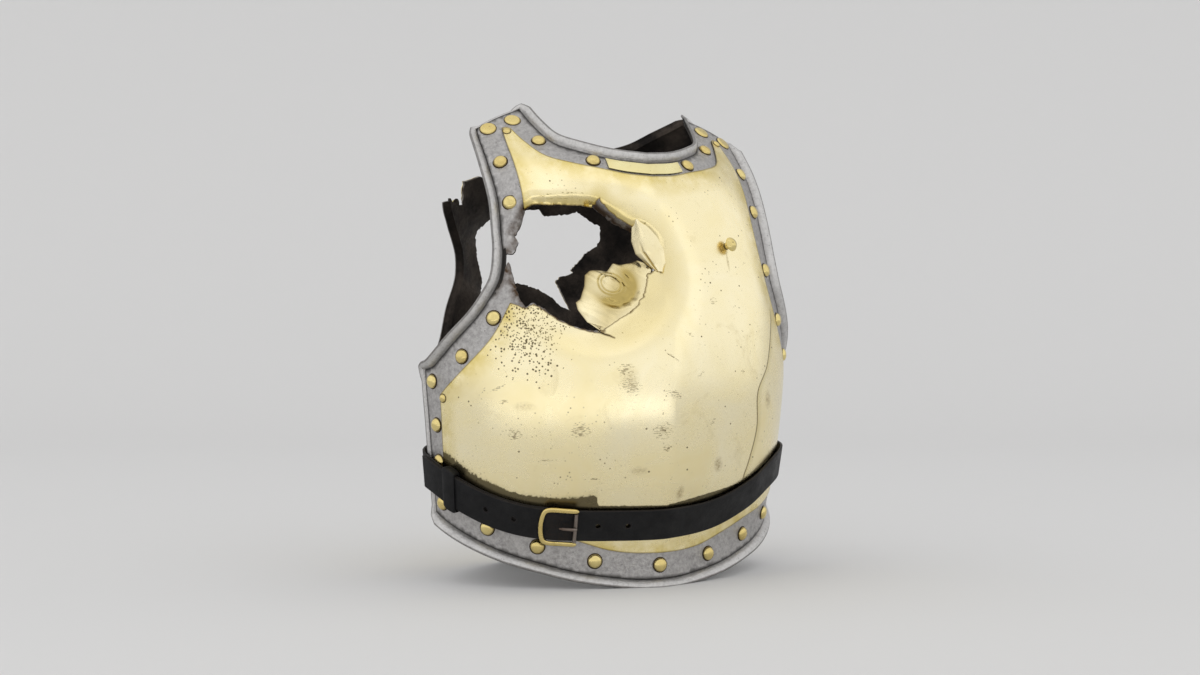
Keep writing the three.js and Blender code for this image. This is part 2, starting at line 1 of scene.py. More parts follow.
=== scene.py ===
import math
import bpy
import numpy as np
from mathutils.geometry import delaunay_2d_cdt
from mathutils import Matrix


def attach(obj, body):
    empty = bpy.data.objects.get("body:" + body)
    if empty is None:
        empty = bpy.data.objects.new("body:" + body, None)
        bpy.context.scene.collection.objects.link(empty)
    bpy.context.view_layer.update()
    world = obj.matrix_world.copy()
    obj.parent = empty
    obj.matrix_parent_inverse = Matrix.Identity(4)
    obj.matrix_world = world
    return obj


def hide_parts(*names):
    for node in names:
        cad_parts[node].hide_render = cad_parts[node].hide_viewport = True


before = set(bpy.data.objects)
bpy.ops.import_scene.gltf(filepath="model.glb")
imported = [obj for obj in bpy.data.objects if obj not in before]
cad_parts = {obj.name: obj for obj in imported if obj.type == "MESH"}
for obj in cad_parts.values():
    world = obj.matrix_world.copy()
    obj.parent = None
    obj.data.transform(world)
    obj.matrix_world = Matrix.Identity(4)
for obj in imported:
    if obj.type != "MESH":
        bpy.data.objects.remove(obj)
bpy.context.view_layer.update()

# ---------------------------------------------------------------- camera, floor and light
# The cuirass stands on a pale studio floor that sweeps up behind it. The camera looks level from
# the wearer's right front, 1.57 m away; big soft boxes light the brass from both sides.
AZIMUTH = math.radians(-26.5)
DISTANCE = 1.571
EYE = 0.2267
TURN_Y = 0.0116  # the camera circles a point a little behind the middle

camera = bpy.data.objects.new("camera", bpy.data.cameras.new("camera"))
camera.data.lens = 48.0
camera.data.sensor_width = 36.0
camera.location = (DISTANCE * math.sin(AZIMUTH), TURN_Y - DISTANCE * math.cos(AZIMUTH), EYE)
camera.rotation_euler = (math.pi / 2, 0.0, AZIMUTH)
bpy.context.collection.objects.link(camera)
bpy.context.scene.camera = camera


def grid_faces(rows, cols, wrap=False):
    """Quads of a rows x cols grid of points; wrap joins the last column to the first."""
    i = np.arange(rows - 1)[:, None]
    j = np.arange(cols if wrap else cols - 1)[None, :]
    k = (j + 1) % cols
    quads = np.stack([i * cols + j, i * cols + k, (i + 1) * cols + k, (i + 1) * cols + j], -1)
    return quads.reshape(-1, 4)


def build(name, points, faces, material, marks=None, crease=38.0):
    """Mesh object from arrays of points (metres) and faces; marks are values stored per point."""
    mesh = bpy.data.meshes.new(name)
    mesh.from_pydata(np.asarray(points, float).reshape(-1, 3).tolist(), [], [list(f) for f in faces])
    mesh.polygons.foreach_set("use_smooth", np.ones(len(mesh.polygons), bool))
    if crease is not None:
        mesh.set_sharp_from_angle(angle=math.radians(crease))
    for key, values in (marks or {}).items():
        layer = mesh.attributes.new(key, "FLOAT", "POINT")
        layer.data.foreach_set("value", np.asarray(values, np.float32).ravel())
    mesh.materials.append(material)
    mesh.validate()
    obj = bpy.data.objects.new(name, mesh)
    bpy.context.collection.objects.link(obj)
    return obj


def new_material(name):
    """Empty node material; returns the material, its node tree and its shader."""
    material = bpy.data.materials.new(name)
    material.use_nodes = True
    return material, material.node_tree, material.node_tree.nodes["Principled BSDF"]


# The sweep: flat floor, quarter-round cove, upright wall.
BACKDROP_COLOUR = (0.68, 0.677, 0.675, 1.0)
backdrop_material, tree, shader = new_material("studio_paper")
shader.inputs["Base Color"].default_value = BACKDROP_COLOUR
shader.inputs["Roughness"].default_value = 0.95
shader.inputs["Specular IOR Level"].default_value = 0.1
along = np.linspace(0, 1, 60)
cove = np.clip(along - 0.5, 0, 0.25) * 2 * np.pi
run_out = np.where(along < 0.5, -3.0 + 10.0 * along, 2.0 + 2.0 * np.sin(cove))
rise = np.where(along < 0.5, 0.0, 2.0 * (1 - np.cos(cove)))
rise = rise + np.clip(along - 0.75, 0, 1) * 16.0
across = np.array([-6.0, 6.0])
ca, sa = math.cos(AZIMUTH), math.sin(AZIMUTH)
bx = across[None, :] * ca - run_out[:, None] * sa
by = across[None, :] * sa + run_out[:, None] * ca
bz = np.repeat(rise[:, None] - 0.0002, 2, axis=1)
sweep = np.stack([bx, by, bz], -1)
backdrop = build("backdrop", sweep, grid_faces(60, 2), backdrop_material, crease=None)

world = bpy.data.worlds.new("studio")
world.use_nodes = True
world.node_tree.nodes["Background"].inputs["Color"].default_value = (1.0, 1.0, 1.0, 1.0)
world.node_tree.nodes["Background"].inputs["Strength"].default_value = 1.0
bpy.context.scene.world = world
bpy.context.scene.view_settings.view_transform = "Standard"

# name, place round the object (degrees from the camera), height, distance, width, tall, watts
SOFT_BOXES = [
    ("left_box", -62.0, 0.75, 1.5, 1.1, 1.6, 0.6),
    ("right_box", 58.0, 0.65, 1.7, 0.9, 1.5, 0.4),
    ("top_box", 5.0, 2.1, 0.9, 1.8, 1.2, 1.2),
]
for name, turn, height, reach, width, tall, watts in SOFT_BOXES:
    lamp = bpy.data.objects.new(name, bpy.data.lights.new(name, "AREA"))
    lamp.data.shape = "RECTANGLE"
    lamp.data.size = width
    lamp.data.size_y = tall
    lamp.data.energy = watts
    angle = AZIMUTH + math.radians(turn)
    lamp.location = (reach * math.sin(angle), -reach * math.cos(angle), height)
    pitch = math.atan2(height - 0.25, reach)
    lamp.rotation_euler = (math.pi / 2 - pitch, 0.0, angle)
    bpy.context.collection.objects.link(lamp)

# A white card lying in front of the object throws light back up into the lower brass.
card = bpy.data.objects.new("low_card", bpy.data.lights.new("low_card", "AREA"))
card.data.shape = "RECTANGLE"
card.data.size = 1.8
card.data.size_y = 1.1
card.data.energy = 4.6
card.visible_camera = False
card.location = (0.95 * math.sin(AZIMUTH), -0.95 * math.cos(AZIMUTH), 0.01)
card.rotation_euler = (math.pi - 0.05, 0.0, AZIMUTH)
bpy.context.collection.objects.link(card)

# ---------------------------------------------------------------- breastplate, steel
# One plate of 2.8 mm steel raised from a single sheet, its edges turned out in a rim. The brass
# facing covers all but a border, which is grey, mottled and pitted; the inside is browned. Both
# plates are raised to one trunk form, and the ball has driven in a hollow round the entry hole.
BREAST_STEEL = 2.8
# outlines by part: degrees round from the middle, height in millimetres
BREAST_PLATE = {
    "bottom": [[0, 9], [7, 9], [17, 12.5], [26, 17], [37, 25], [50, 35], [66, 50], [84, 68]],
    "side": [[84, 68], [84.5, 126], [84, 199]],
    "arm": [[84, 199], [78, 203], [64.6, 232], [58.5, 247.5], [54, 264], [50.8, 281], [49.9, 305],
            [50.3, 323], [51.8, 353], [56, 390], [60, 424]],
    "tip": [[60, 424], [48, 436], [36.6, 446]],
    "neck": [[36.6, 446], [32.5, 424], [28.5, 410], [21.5, 402], [11, 394], [0, 390.5]],
}
# length of each rim and how far it turns out, in degrees
BREAST_RIMS = {"bottom": (8.5, 50), "side": (3.5, 40), "arm": (8.7, 60), "tip": (1.2, 0),
               "neck": (8.7, 64)}
# entry hole seen along the path of the ball: x, z
BREAST_HOLE = [
    [-144, 305], [-135, 304], [-133, 307], [-130, 316], [-133, 322], [-126, 333], [-122, 346], [-115, 351],
    [-89, 351], [-69, 350], [-56, 348], [-50, 343], [-35, 332], [-19, 324], [-15, 327], [-5, 318], [2, 306],
    [3, 297], [1, 291], [-2, 289], [-5, 288], [-8, 274], [-10, 266], [-21, 254], [-32, 247], [-44, 240],
    [-55, 235], [-64, 236], [-78, 239], [-93, 245], [-108, 255], [-117, 260], [-124, 256], [-129, 262],
    [-134, 278], [-139, 297], [-147, 282], [-153, 270], [-154, 284], [-150, 298],
]
LIFT = -2.3  # settles the plates on the floor
SHIFT_Y = 11.63  # centres the cuirass front to back
BACK_REACH = 40.0  # depth of the middle line behind which the back is bowed
BACK_TUCK = 7.0  # the backplate lies this far inside the breastplate at the flanks
BACK_FULL = 0.85  # power below 1 that fills out the back's section at the flanks
DISH, DISH_X, DISH_Z = 32.0, -76, 290  # deepest part of the hollow, and its middle
DISH_WIDE, DISH_TALL = 66, 58  # half width and half height of the hollow
BURST, BURST_X, BURST_Z = 12, -18, 312  # the swell round the exit hole, in the same way
BURST_WIDE, BURST_TALL = 74, 52
SHOT_SLEW = 0.26  # sideways run of the ball for each millimetre of depth
# height, half width, breast depth, shift back, keel, back depth (millimetres)
TORSO = np.array([
    [-10, 169, 113, 0, 13, 90],
    [0, 170, 112, 0, 13, 90],
    [50, 175, 113, -1, 11, 84],
    [100, 180, 130, -2, 10, 88],
    [150, 185, 140, -3, 8, 98],
    [200, 189, 143, -2, 8, 108],
    [260, 186.5, 142.5, 1, 7.5, 117],
    [320, 180, 131, 5, 7.5, 120],
    [360, 173, 119, 8, 7.5, 116],
    [390, 166.5, 101.5, 12, 8, 108],
    [415, 160.5, 73, 15, 8, 96],
    [440, 154, 41.5, 18, 8, 80],
    [470, 146, 6, 22, 8, 56],
], float)


def at(rows, u):
    """Smooth cubic curve through the rows, keyed by the first column; one column per row out."""
    rows = np.asarray(rows, float)
    u = np.asarray(u, float)
    key = rows[:, 0]
    i = np.clip(np.searchsorted(key, u, side="right") - 1, 0, len(key) - 2)
    lo = np.maximum(i - 1, 0)
    hi = np.minimum(i + 2, len(key) - 1)
    h = (key[i + 1] - key[i])[..., None]
    t = ((u - key[i])[..., None]) / h
    s0 = (rows[i + 1] - rows[lo]) / (key[i + 1] - key[lo])[..., None] * h
    s1 = (rows[hi] - rows[i]) / (key[hi] - key[i])[..., None] * h
    v, w = rows[i], rows[i + 1]
    value = v + t * s0 + t * t * (3 * (w - v) - 2 * s0 - s1) + t**3 * (2 * (v - w) + s0 + s1)
    return np.moveaxis(value, -1, 0)


def dish(x, z):
    """Depth of the hollow driven in round the entry hole: bell-shaped, deepest towards the keel."""
    u = (x - DISH_X) / DISH_WIDE
    v = (z - DISH_Z) / DISH_TALL
    side = 0.5 + 0.5 * np.cos(np.arctan2(v, u) + 0.25)
    return DISH * side * np.exp(-((np.maximum(np.hypot(u, v) - 0.85, 0) / 0.42) ** 2))


def burst(x, z):
    """How far the backplate is pushed out round the exit hole."""
    away = np.hypot((x - BURST_X) / BURST_WIDE, (z - BURST_Z) / BURST_TALL)
    return BURST * np.exp(-((np.maximum(away - 0.9, 0) / 0.3) ** 2))


def breast(deg, z):
    """Front of the trunk in millimetres: ellipse section less a keel, hollowed by the dish."""
    _, w, d, shift, keel, _ = at(TORSO, z)
    x = w * np.sin(np.radians(deg))
    y = shift - d * np.cos(np.radians(deg)) - keel * np.exp(-np.sqrt(x * x + 16) / 40)
    return np.stack([x, y + dish(x, z) + SHIFT_Y, z + LIFT], -1)


def back(deg, z):
    """Back of the trunk: flattened ellipse with a spine hollow, pushed out round the exit hole."""
    _, w, _, _, _, b = at(TORSO, z)
    x = (w - BACK_TUCK) * np.sign(deg) * np.abs(np.sin(np.radians(deg))) ** BACK_FULL
    bow = np.maximum(np.cos(np.radians(deg)), 0) ** 0.8
    y = -BACK_REACH + (b + BACK_REACH) * bow - 6 * np.exp(-((x / 28) ** 2))
    return np.stack([x, y + burst(x, z) + SHIFT_Y, z + LIFT], -1)


def outward(surface, deg, z):
    """Unit normal of a surface, from differences, pointing away from the trunk."""
    a = surface(deg + 0.15, z) - surface(deg - 0.15, z)
    b = surface(deg, z + 0.4) - surface(deg, z - 0.4)
    n = np.cross(a, b)
    n /= np.linalg.norm(n, axis=-1, keepdims=True)
    return -n if surface is back else n


def lifted(surface, deg, z, off):
    """Point on a surface moved off along its normal."""
    return surface(deg, z) + outward(surface, deg, z) * np.asarray(off)[..., None]


ARC = 2.8  # millimetres of sheet to a degree, for laying outlines out flat


def walked(points):
    """Distance walked along a row of points, from the first to each of them."""
    return np.concatenate([[0], np.cumsum(np.linalg.norm(np.diff(points, axis=0), axis=1))])


def trace(rows, pitch):
    """Smooth curve through outline rows (degrees, height), as evenly spaced flat points."""
    rows = np.asarray(rows, float) * [ARC, 1.0]
    key = walked(rows)
    fine = at(np.column_stack([key, rows]), np.linspace(0, key[-1], 600))[1:].T
    walk = walked(fine)
    n = max(int(round(walk[-1] / pitch)), 1)
    step = np.linspace(0, walk[-1], n + 1)
    return np.column_stack([np.interp(step, walk, fine[:, 0]), np.interp(step, walk, fine[:, 1])])


def loop_of(outline, pitch):
    """Closed flat outline, counter-clockwise from the bottom middle, and the kind of each point."""
    half, kinds = [], []
    for kind in ("bottom", "side", "arm", "tip", "neck"):
        part = trace(outline[kind], pitch)[:-1]
        half.append(part)
        kinds += [kind] * len(part)
    half = np.concatenate(half + [np.array([outline["neck"][-1]]) * [ARC, 1.0]])
    kinds.append("neck")
    loop = np.concatenate([half, half[-2:0:-1] * [-1, 1]])
    return loop, np.array(kinds + kinds[-2:0:-1])


def inside(loop, points):
    """Even-odd test of which flat points lie inside a closed outline."""
    x, y = points[:, 0][:, None], points[:, 1][:, None]
    x0, y0 = loop[:, 0][None], loop[:, 1][None]
    x1, y1 = np.roll(loop[:, 0], -1)[None], np.roll(loop[:, 1], -1)[None]
    straddle = (y0 > y) != (y1 > y)
    slope = (x1 - x0) / np.where(y1 == y0, 1e-9, y1 - y0)
    return (straddle & (x < x0 + (y - y0) * slope)).sum(1) % 2 == 1


def distance(loop, points):
    """Shortest distance from flat points to a closed outline."""
    a, b = loop, np.roll(loop, -1, axis=0)
    best = np.full(len(points), 1e9)
    for lo in range(0, len(points), 4000):
        p = points[lo:lo + 4000, None]
        ab = (b - a)[None]
        t = np.clip(((p - a[None]) * ab).sum(-1) / np.maximum((ab**2).sum(-1), 1e-9), 0, 1)
        best[lo:lo + 4000] = np.sqrt((((a[None] + ab * t[..., None]) - p) ** 2).sum(-1)).min(1)
    return best


def frayed(outline, pitch, rough, seed):
    """Torn outline (x, z): straight runs between the points with a fine ragged wander."""
    pts = np.asarray(outline, float)
    nxt = np.roll(pts, -1, axis=0)
    rng = np.random.default_rng(seed)
    out = []
    for a, b in zip(pts, nxt):
        n = max(int(np.hypot(*(b - a)) / pitch), 1)
        t = np.arange(n)[:, None] / n
        line = a + (b - a) * t
        wander = rng.normal(0, rough, (n, 2))
        wander[0] *= 0.3
        out.append(line + wander)
    return np.concatenate(out)


def laid(surface, outline, level):
    """Hole outline (x, z) carried along the ball's slanting path to flat coordinates on a surface;
    its x is true at the level, a depth in millimetres."""
    x, z = outline[:, 0].copy(), outline[:, 1]
    w = at(TORSO, z)[1] - (BACK_TUCK if surface is back else 0)
    power = 1 / BACK_FULL if surface is back else 1.0
    for _ in range(3):
        ratio = np.clip(np.abs(x) / w, 0, 0.999) ** power
        deg = np.degrees(np.arcsin(ratio)) * np.sign(x)
        y = surface(deg, z)[:, 1] - SHIFT_Y
        x = outline[:, 0] + SHOT_SLEW * (y - level)
    return np.column_stack([deg * ARC, z])


def sheet(surface, loop, holes, pitch, outer, inner, press=None):
    """Sheet metal in the round: a lattice of flat points inside the outline and outside the holes
    is triangulated, then carried onto the surface at two offsets and walled round every edge."""
    edges = [loop] + list(holes)
    lo, hi = loop.min(0), loop.max(0)
    gx = np.arange(lo[0], hi[0], pitch)
    gy = np.arange(lo[1], hi[1], pitch)
    fill = np.stack(np.meshgrid(np.concatenate([-gx[gx > 0][::-1], [0], gx[gx > 0]]), gy), -1).reshape(-1, 2)
    fill = fill[inside(loop, fill)]
    for hole in holes:
        fill = fill[~inside(hole, fill)]
    for edge in edges:
        fill = fill[distance(edge, fill) > 0.55 * pitch]
    flat = np.concatenate(edges + [fill])
    ties, first = [], 0
    for edge in edges:
        n = len(edge)
        ties += [(first + k, first + (k + 1) % n) for k in range(n)]
        first += n
    got, _, tris, *_ = delaunay_2d_cdt([tuple(p) for p in flat], ties, [], 0, 1e-5)
    flat = np.array([(p[0], p[1]) for p in got])
    tris = np.array([t for t in tris if len(t) == 3])
    middle = flat[tris].mean(1)
    keep = inside(loop, middle)
    for hole in holes:
        keep &= ~inside(hole, middle)
    tris = tris[keep]
    a, b, c = flat[tris[:, 0]], flat[tris[:, 1]], flat[tris[:, 2]]
    area = (b[:, 0] - a[:, 0]) * (c[:, 1] - a[:, 1]) - (b[:, 1] - a[:, 1]) * (c[:, 0] - a[:, 0])
    tris = np.where(area[:, None] < 0, tris[:, ::-1], tris)
    tris = tris[np.abs(area) > 1e-6]
    used = np.unique(tris)
    order = np.full(len(flat), -1)
    order[used] = np.arange(len(used))
    flat, tris = flat[used], order[tris]
    if surface is back:
        tris = tris[:, ::-1]
    deg, z = flat[:, 0] / ARC, flat[:, 1]
    give = press(flat) if press else np.zeros(len(flat))
    top = lifted(surface, deg, z, outer + give)
    low = lifted(surface, deg, z, inner + give)
    n = len(flat)
    sides = np.concatenate([tris[:, [0, 1]], tris[:, [1, 2]], tris[:, [2, 0]]])
    key = np.sort(sides, 1)
    _, pick, count = np.unique(key, axis=0, return_index=True, return_counts=True)
    a, b = sides[pick[count == 1]].T  # sides of one triangle only are edges of the sheet
    walls = np.column_stack([b, a, a + n, b + n])
    faces = tris.tolist() + (tris[:, ::-1] + n).tolist() + walls.tolist()
    both = np.tile(flat, (2, 1))
    marks = {"inner": np.repeat([0.0, 1.0], n), "flat_x": both[:, 0], "flat_y": both[:, 1]}
    return np.concatenate([top, low]), faces, marks, both


def rim(surface, loop, kinds, rims, thick, torn):
    """Turned-out rim: a strip leaves the sheet, bends round a small arc through its angle, runs on
    straight and ends in a rounded edge, carried round the outline except where it is torn away."""
    deg, z = loop[:, 0] / ARC, loop[:, 1]
    p = surface(deg, z)
    n = outward(surface, deg, z)
    ahead = np.roll(p, -1, axis=0) - np.roll(p, 1, axis=0)
    out = np.cross(ahead, n)
    out /= np.linalg.norm(out, axis=1, keepdims=True)
    out *= -1 if surface is back else 1
    length = np.array([rims[k][0] for k in kinds], float)
    angle = np.radians([rims[k][1] for k in kinds])
    for values in (length, angle, out):
        pad = np.concatenate([values[-2:], values, values[:2]])
        values[...] = sum(pad[k:k + len(values)] for k in range(5)) / 5
    out /= np.linalg.norm(out, axis=1, keepdims=True)
    bend, sides = 2.2, 12  # radius of the bend, steps across the rim
    foot = [-0.35, -0.2, -0.06]  # the strip starts inside the outline, in lengths of the rim
    share = np.concatenate([foot, np.linspace(0, 1, sides)])
    s = share[None, :] * length[:, None]
    turn = np.clip(s / bend, 0, angle[:, None])
    rest = np.maximum(s - bend * angle[:, None], 0)
    u = np.where(s < 0, s, bend * np.sin(turn) + rest * np.cos(turn))
    v = np.where(s < 0, 0, bend * (1 - np.cos(turn)) + rest * np.sin(turn))
    v = v - np.interp(share, foot + [0.08, 1], [0.5, 0.55, 0.9, 0.25, 0.0])  # groove at its foot
    fu, fv = -np.sin(turn), np.cos(turn)
    bead = np.clip(share, 0, 1) * np.clip(1 - share, 0, 1) * 4 * np.minimum(length[:, None] / 8, 1)
    u, v = u + fu * bead * 1.1, v + fv * bead * 1.1
    tip = np.linspace(0, np.pi, 7)[1:-1]
    cu, cv = u[:, -1:] - fu[:, -1:] * thick / 2, v[:, -1:] - fv[:, -1:] * thick / 2
    du, dv = fv[:, -1:], -fu[:, -1:]
    tu = cu + thick / 2 * (fu[:, -1:] * np.cos(tip) + du * np.sin(tip))
    tv = cv + thick / 2 * (fv[:, -1:] * np.cos(tip) + dv * np.sin(tip))
    bu, bv = (u - fu * thick)[:, ::-1], (v - fv * thick)[:, ::-1]
    pu, pv = np.concatenate([u, tu, bu], 1), np.concatenate([v, tv, bv], 1)
    points = p[:, None] + out[:, None] * pu[..., None] + n[:, None] * pv[..., None]
    rows, cols = points.shape[:2]
    faces = grid_faces(rows + 1, cols, wrap=True)
    faces = np.where(faces >= rows * cols, faces - rows * cols, faces)
    gone = inside(torn, loop) if torn is not None else np.zeros(rows, bool)
    faces = faces[~gone[faces // cols].any(1)]
    if surface is back:
        faces = faces[:, ::-1]
    ends = []
    for k in np.flatnonzero(gone != np.roll(gone, -1)):
        row = k if not gone[k] else (k + 1) % rows
        cap = (row * cols + np.arange(cols)).tolist()
        ends.append(cap if gone[k] == (surface is back) else cap[::-1])
    reach = np.concatenate([share, np.ones(len(tip)), share[::-1]])
    under = np.concatenate([np.zeros(len(share)), 0.5 * np.ones(len(tip)), np.ones(len(share))])
    return points.reshape(-1, 3), faces.tolist() + ends, np.tile(reach, rows), np.tile(under, rows)


def join(tree, socket, value):
    """Socket fed by another socket, or set to a plain number, place or colour."""
    if isinstance(value, bpy.types.NodeSocket):
        tree.links.new(value, socket)
    elif value is not None:
        socket.default_value = value


def shade(tree, kind, **sockets):
    """New shader node; each named input, with an underscore for a space, is set or linked."""
    node = tree.nodes.new("ShaderNode" + kind)
    for key, value in sockets.items():
        join(tree, node.inputs[key.replace("_", " ")], value)
    return node


def noise(tree, coords, scale, detail=4.0, rough=0.55, warp=0.0):
    """Noise value on given coordinates."""
    node = shade(tree, "TexNoise", Vector=coords, Scale=scale, Detail=detail, Roughness=rough,
                 Distortion=warp)
    return node.outputs["Fac"]


def ramp(tree, value, low, high, start=0.0, stop=1.0):
    """Value mapped from low..high to start..stop, held at the ends."""
    node = shade(tree, "MapRange", Value=value, From_Min=low, From_Max=high, To_Min=start, To_Max=stop)
    return node.outputs["Result"]


def maths(tree, kind, a, b=None):
    """One maths node on two values, either of them a number."""
    node = tree.nodes.new("ShaderNodeMath")
    node.operation = kind
    for socket, value in zip(node.inputs, (a, b)):
        join(tree, socket, value)
    return node.outputs["Value"]


def times(tree, a, b):
    """Product of two values."""
    return maths(tree, "MULTIPLY", a, b)


def blend(tree, share, a, b):
    """Colour a turned into colour b by a share; each is a socket or a plain colour."""
    node = tree.nodes.new("ShaderNodeMix")
    node.data_type = "RGBA"
    tree.links.new(share, node.inputs["Factor"])
    for socket, value in ((node.inputs[6], a), (node.inputs[7], b)):
        join(tree, socket, (*value, 1.0) if isinstance(value, tuple) else value)
    return node.outputs[2]


def mark(tree, name):
    """Value stored on the mesh."""
    node = tree.nodes.new("ShaderNodeAttribute")
    node.attribute_name = name
    return node.outputs["Fac"]


def object_coords(tree):
    """Place in the object's own axes."""
    return tree.nodes.new("ShaderNodeTexCoord").outputs["Object"]


def mapped(tree, coords, turn, size, place=(0, 0, 0), kind="POINT"):
    """Coordinates scaled, turned and moved; kind TEXTURE measures them inside such a frame."""
    node = tree.nodes.new("ShaderNodeMapping")
    node.vector_type = kind
    for key, value in (("Vector", coords), ("Location", place), ("Rotation", turn), ("Scale", size)):
        join(tree, node.inputs[key], value)
    return node.outputs["Vector"]


def bump(tree, shader, height, strength, depth):
    """Height in, normal of the shader out."""
    node = shade(tree, "Bump", Strength=strength, Distance=depth, Height=height)
    tree.links.new(node.outputs["Normal"], shader.inputs["Normal"])


# Rubbed metal: cloudy handling marks, fine scratches from polishing both ways, and small pits.
rubbed = bpy.data.node_groups.new("rubbed_metal", "ShaderNodeTree")
rubbed.interface.new_socket("Coords", in_out="INPUT", socket_type="NodeSocketVector")
rubbed.interface.new_socket("Pit Scale", in_out="INPUT", socket_type="NodeSocketFloat")
for key in ("Cloud", "Scratch", "Pit", "Height"):
    rubbed.interface.new_socket(key, in_out="OUTPUT", socket_type="NodeSocketFloat")
given = rubbed.nodes.new("NodeGroupInput").outputs
result = rubbed.nodes.new("NodeGroupOutput").inputs
coords = given["Coords"]
cloud = ramp(rubbed, noise(rubbed, coords, 14.0, 6.0, 0.62, 0.4), 0.32, 0.70)
strokes = []
for turn, squeeze in ((0.5, 0.035), (-0.9, 0.03), (1.4, 0.04)):
    combed = mapped(rubbed, coords, (0.0, turn, 0.3), (squeeze, 1.0, 1.0))
    strokes.append(ramp(rubbed, noise(rubbed, combed, 700.0, 2.0, 0.5), 0.66, 0.76))
scratch = maths(rubbed, "MAXIMUM", maths(rubbed, "MAXIMUM", strokes[0], strokes[1]), strokes[2])
pits = shade(rubbed, "TexVoronoi", Vector=coords, Scale=given["Pit Scale"]).outputs["Distance"]
pit_gate = ramp(rubbed, noise(rubbed, coords, 45.0, 3.0), 0.52, 0.66)
pit = times(rubbed, ramp(rubbed, pits, 0.10, 0.22, 1.0, 0.0), pit_gate)
height = maths(rubbed, "SUBTRACT", times(rubbed, cloud, 0.3), times(rubbed, scratch, 0.06))
height = maths(rubbed, "SUBTRACT", height, times(rubbed, pit, 0.5))
for key, value in (("Cloud", cloud), ("Scratch", scratch), ("Pit", pit), ("Height", height)):
    rubbed.links.new(value, result[key])


def rub(tree, pit_scale):
    """Rubbed-metal group placed in a material, on object coordinates."""
    node = tree.nodes.new("ShaderNodeGroup")
    node.node_tree = rubbed
    tree.links.new(object_coords(tree), node.inputs["Coords"])
    node.inputs["Pit Scale"].default_value = pit_scale
    return node.outputs


steel, tree, shader = new_material("border_steel")
marks = rub(tree, 300.0)
coords = object_coords(tree)
dapple = ramp(tree, noise(tree, coords, 240.0, 6.0, 0.75), 0.36, 0.64)
tone = blend(tree, dapple, (0.27, 0.26, 0.255), (0.47, 0.455, 0.445))
tone = blend(tree, times(tree, marks["Cloud"], 0.35), tone, (0.52, 0.51, 0.50))
# painted highlight: the bead of the rim is lightened, in speckles broken up by the dapple
rim_bead_highlight = times(tree, mark(tree, "lip"), ramp(tree, dapple, 0.0, 1.0, 0.55, 1.0))
tone = blend(tree, rim_bead_highlight, tone, (0.60, 0.59, 0.58))
tone = blend(tree, times(tree, marks["Pit"], 0.8), tone, (0.05, 0.045, 0.04))
patches = ramp(tree, noise(tree, coords, 90.0, 5.0), 0.34, 0.58)
rust = times(tree, ramp(tree, mark(tree, "near"), 2.0, 9.0, 1.0, 0.0), patches)
tone = blend(tree, rust, tone, (0.075, 0.048, 0.030))
# painted shade: near-black in the groove at the foot of the rim
tone = blend(tree, mark(tree, "groove"), tone, (0.03, 0.028, 0.026))
browned = ramp(tree, noise(tree, coords, 30.0, 6.0), 0.35, 0.7)
inside_tone = blend(tree, browned, (0.016, 0.014, 0.013), (0.085, 0.068, 0.055))
tone = blend(tree, mark(tree, "inner"), tone, inside_tone)
tree.links.new(tone, shader.inputs["Base Color"])
shader.inputs["Metallic"].default_value = 0.9
rough = maths(tree, "ADD", ramp(tree, dapple, 0, 1, 0.50, 0.34), times(tree, mark(tree, "inner"), 0.2))
tree.links.new(rough, shader.inputs["Roughness"])
bump(tree, shader, maths(tree, "ADD", marks["Height"], times(tree, dapple, 0.6)), 0.5, 0.0008)


def press_of(hole, depth, reach, roll=0.0):
    """Edge of a torn hole bent in (negative) or out: an exponential fall-off from the outline. With
    roll, the upper edge also swells and then turns in, as a rolled lip."""
    def press(flat):
        near = distance(hole, flat)
        upper = np.clip((flat[:, 1] - 300) / 30, 0, 1)
        swell = roll * upper * (0.3 * np.exp(-((near - 9) / 5) ** 2) - np.exp(-near / 3.2))
        return depth * np.exp(-near / reach) + swell
    return press


def metal_sheet(name, surface, outline, rims, holes, thick, base, material, pitch, press, torn=None):
    """Sheet with its turned rim as one mesh; stores how near each point is to tear, lip and groove."""
    loop, kinds = loop_of(outline, pitch)
    cuts = list(holes) + ([torn] if torn is not None else [])
    points, faces, marks, flat = sheet(surface, loop, cuts, pitch, base + thick, base, press)
    marks["near"] = np.minimum(np.min([distance(cut, flat) for cut in cuts], axis=0), 40.0)
    marks["edge"] = distance(loop, flat)
    # lip marks the rim's bead for a painted highlight, groove the foot of the rim for painted shade
    marks["lip"] = np.zeros(len(flat))
    marks["groove"] = np.clip(1 - marks["edge"] / 1.6, 0, 1) if rims else np.zeros(len(flat))
    if rims:
        more, strips, reach, under = rim(surface, loop, kinds, rims, thick, torn)
        faces = faces + [[i + len(points) for i in f] for f in strips]
        points = np.concatenate([points, more])
        extra = {"inner": under, "lip": np.clip(reach * 1.6, 0, 1) * (1 - under), "edge": 0 * reach,
                 "groove": np.clip(1 - reach * 6, 0, 1) * (under < 0.2), "near": 0 * reach + 40,
                 "flat_x": np.repeat(loop[:, 0], len(reach) // len(loop)),
                 "flat_y": np.repeat(loop[:, 1], len(reach) // len(loop))}
        marks = {key: np.concatenate([marks[key], extra[key]]) for key in marks}
    points[:, 2] = np.maximum(points[:, 2], 0.0)  # filed flat where it stands
    return build(name, points / 1000, faces, material, marks)


breast_hole = laid(breast, frayed(BREAST_HOLE, 2.0, 0.35, 3), level=-100)
breast_press = press_of(breast_hole, depth=-1.0, reach=5.0, roll=5.0)
breastplate = metal_sheet("breastplate", breast, BREAST_PLATE, BREAST_RIMS, [breast_hole], BREAST_STEEL,
                          -BREAST_STEEL, steel, pitch=3.4, press=breast_press)
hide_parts("breast_steel")
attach(breastplate, "root")

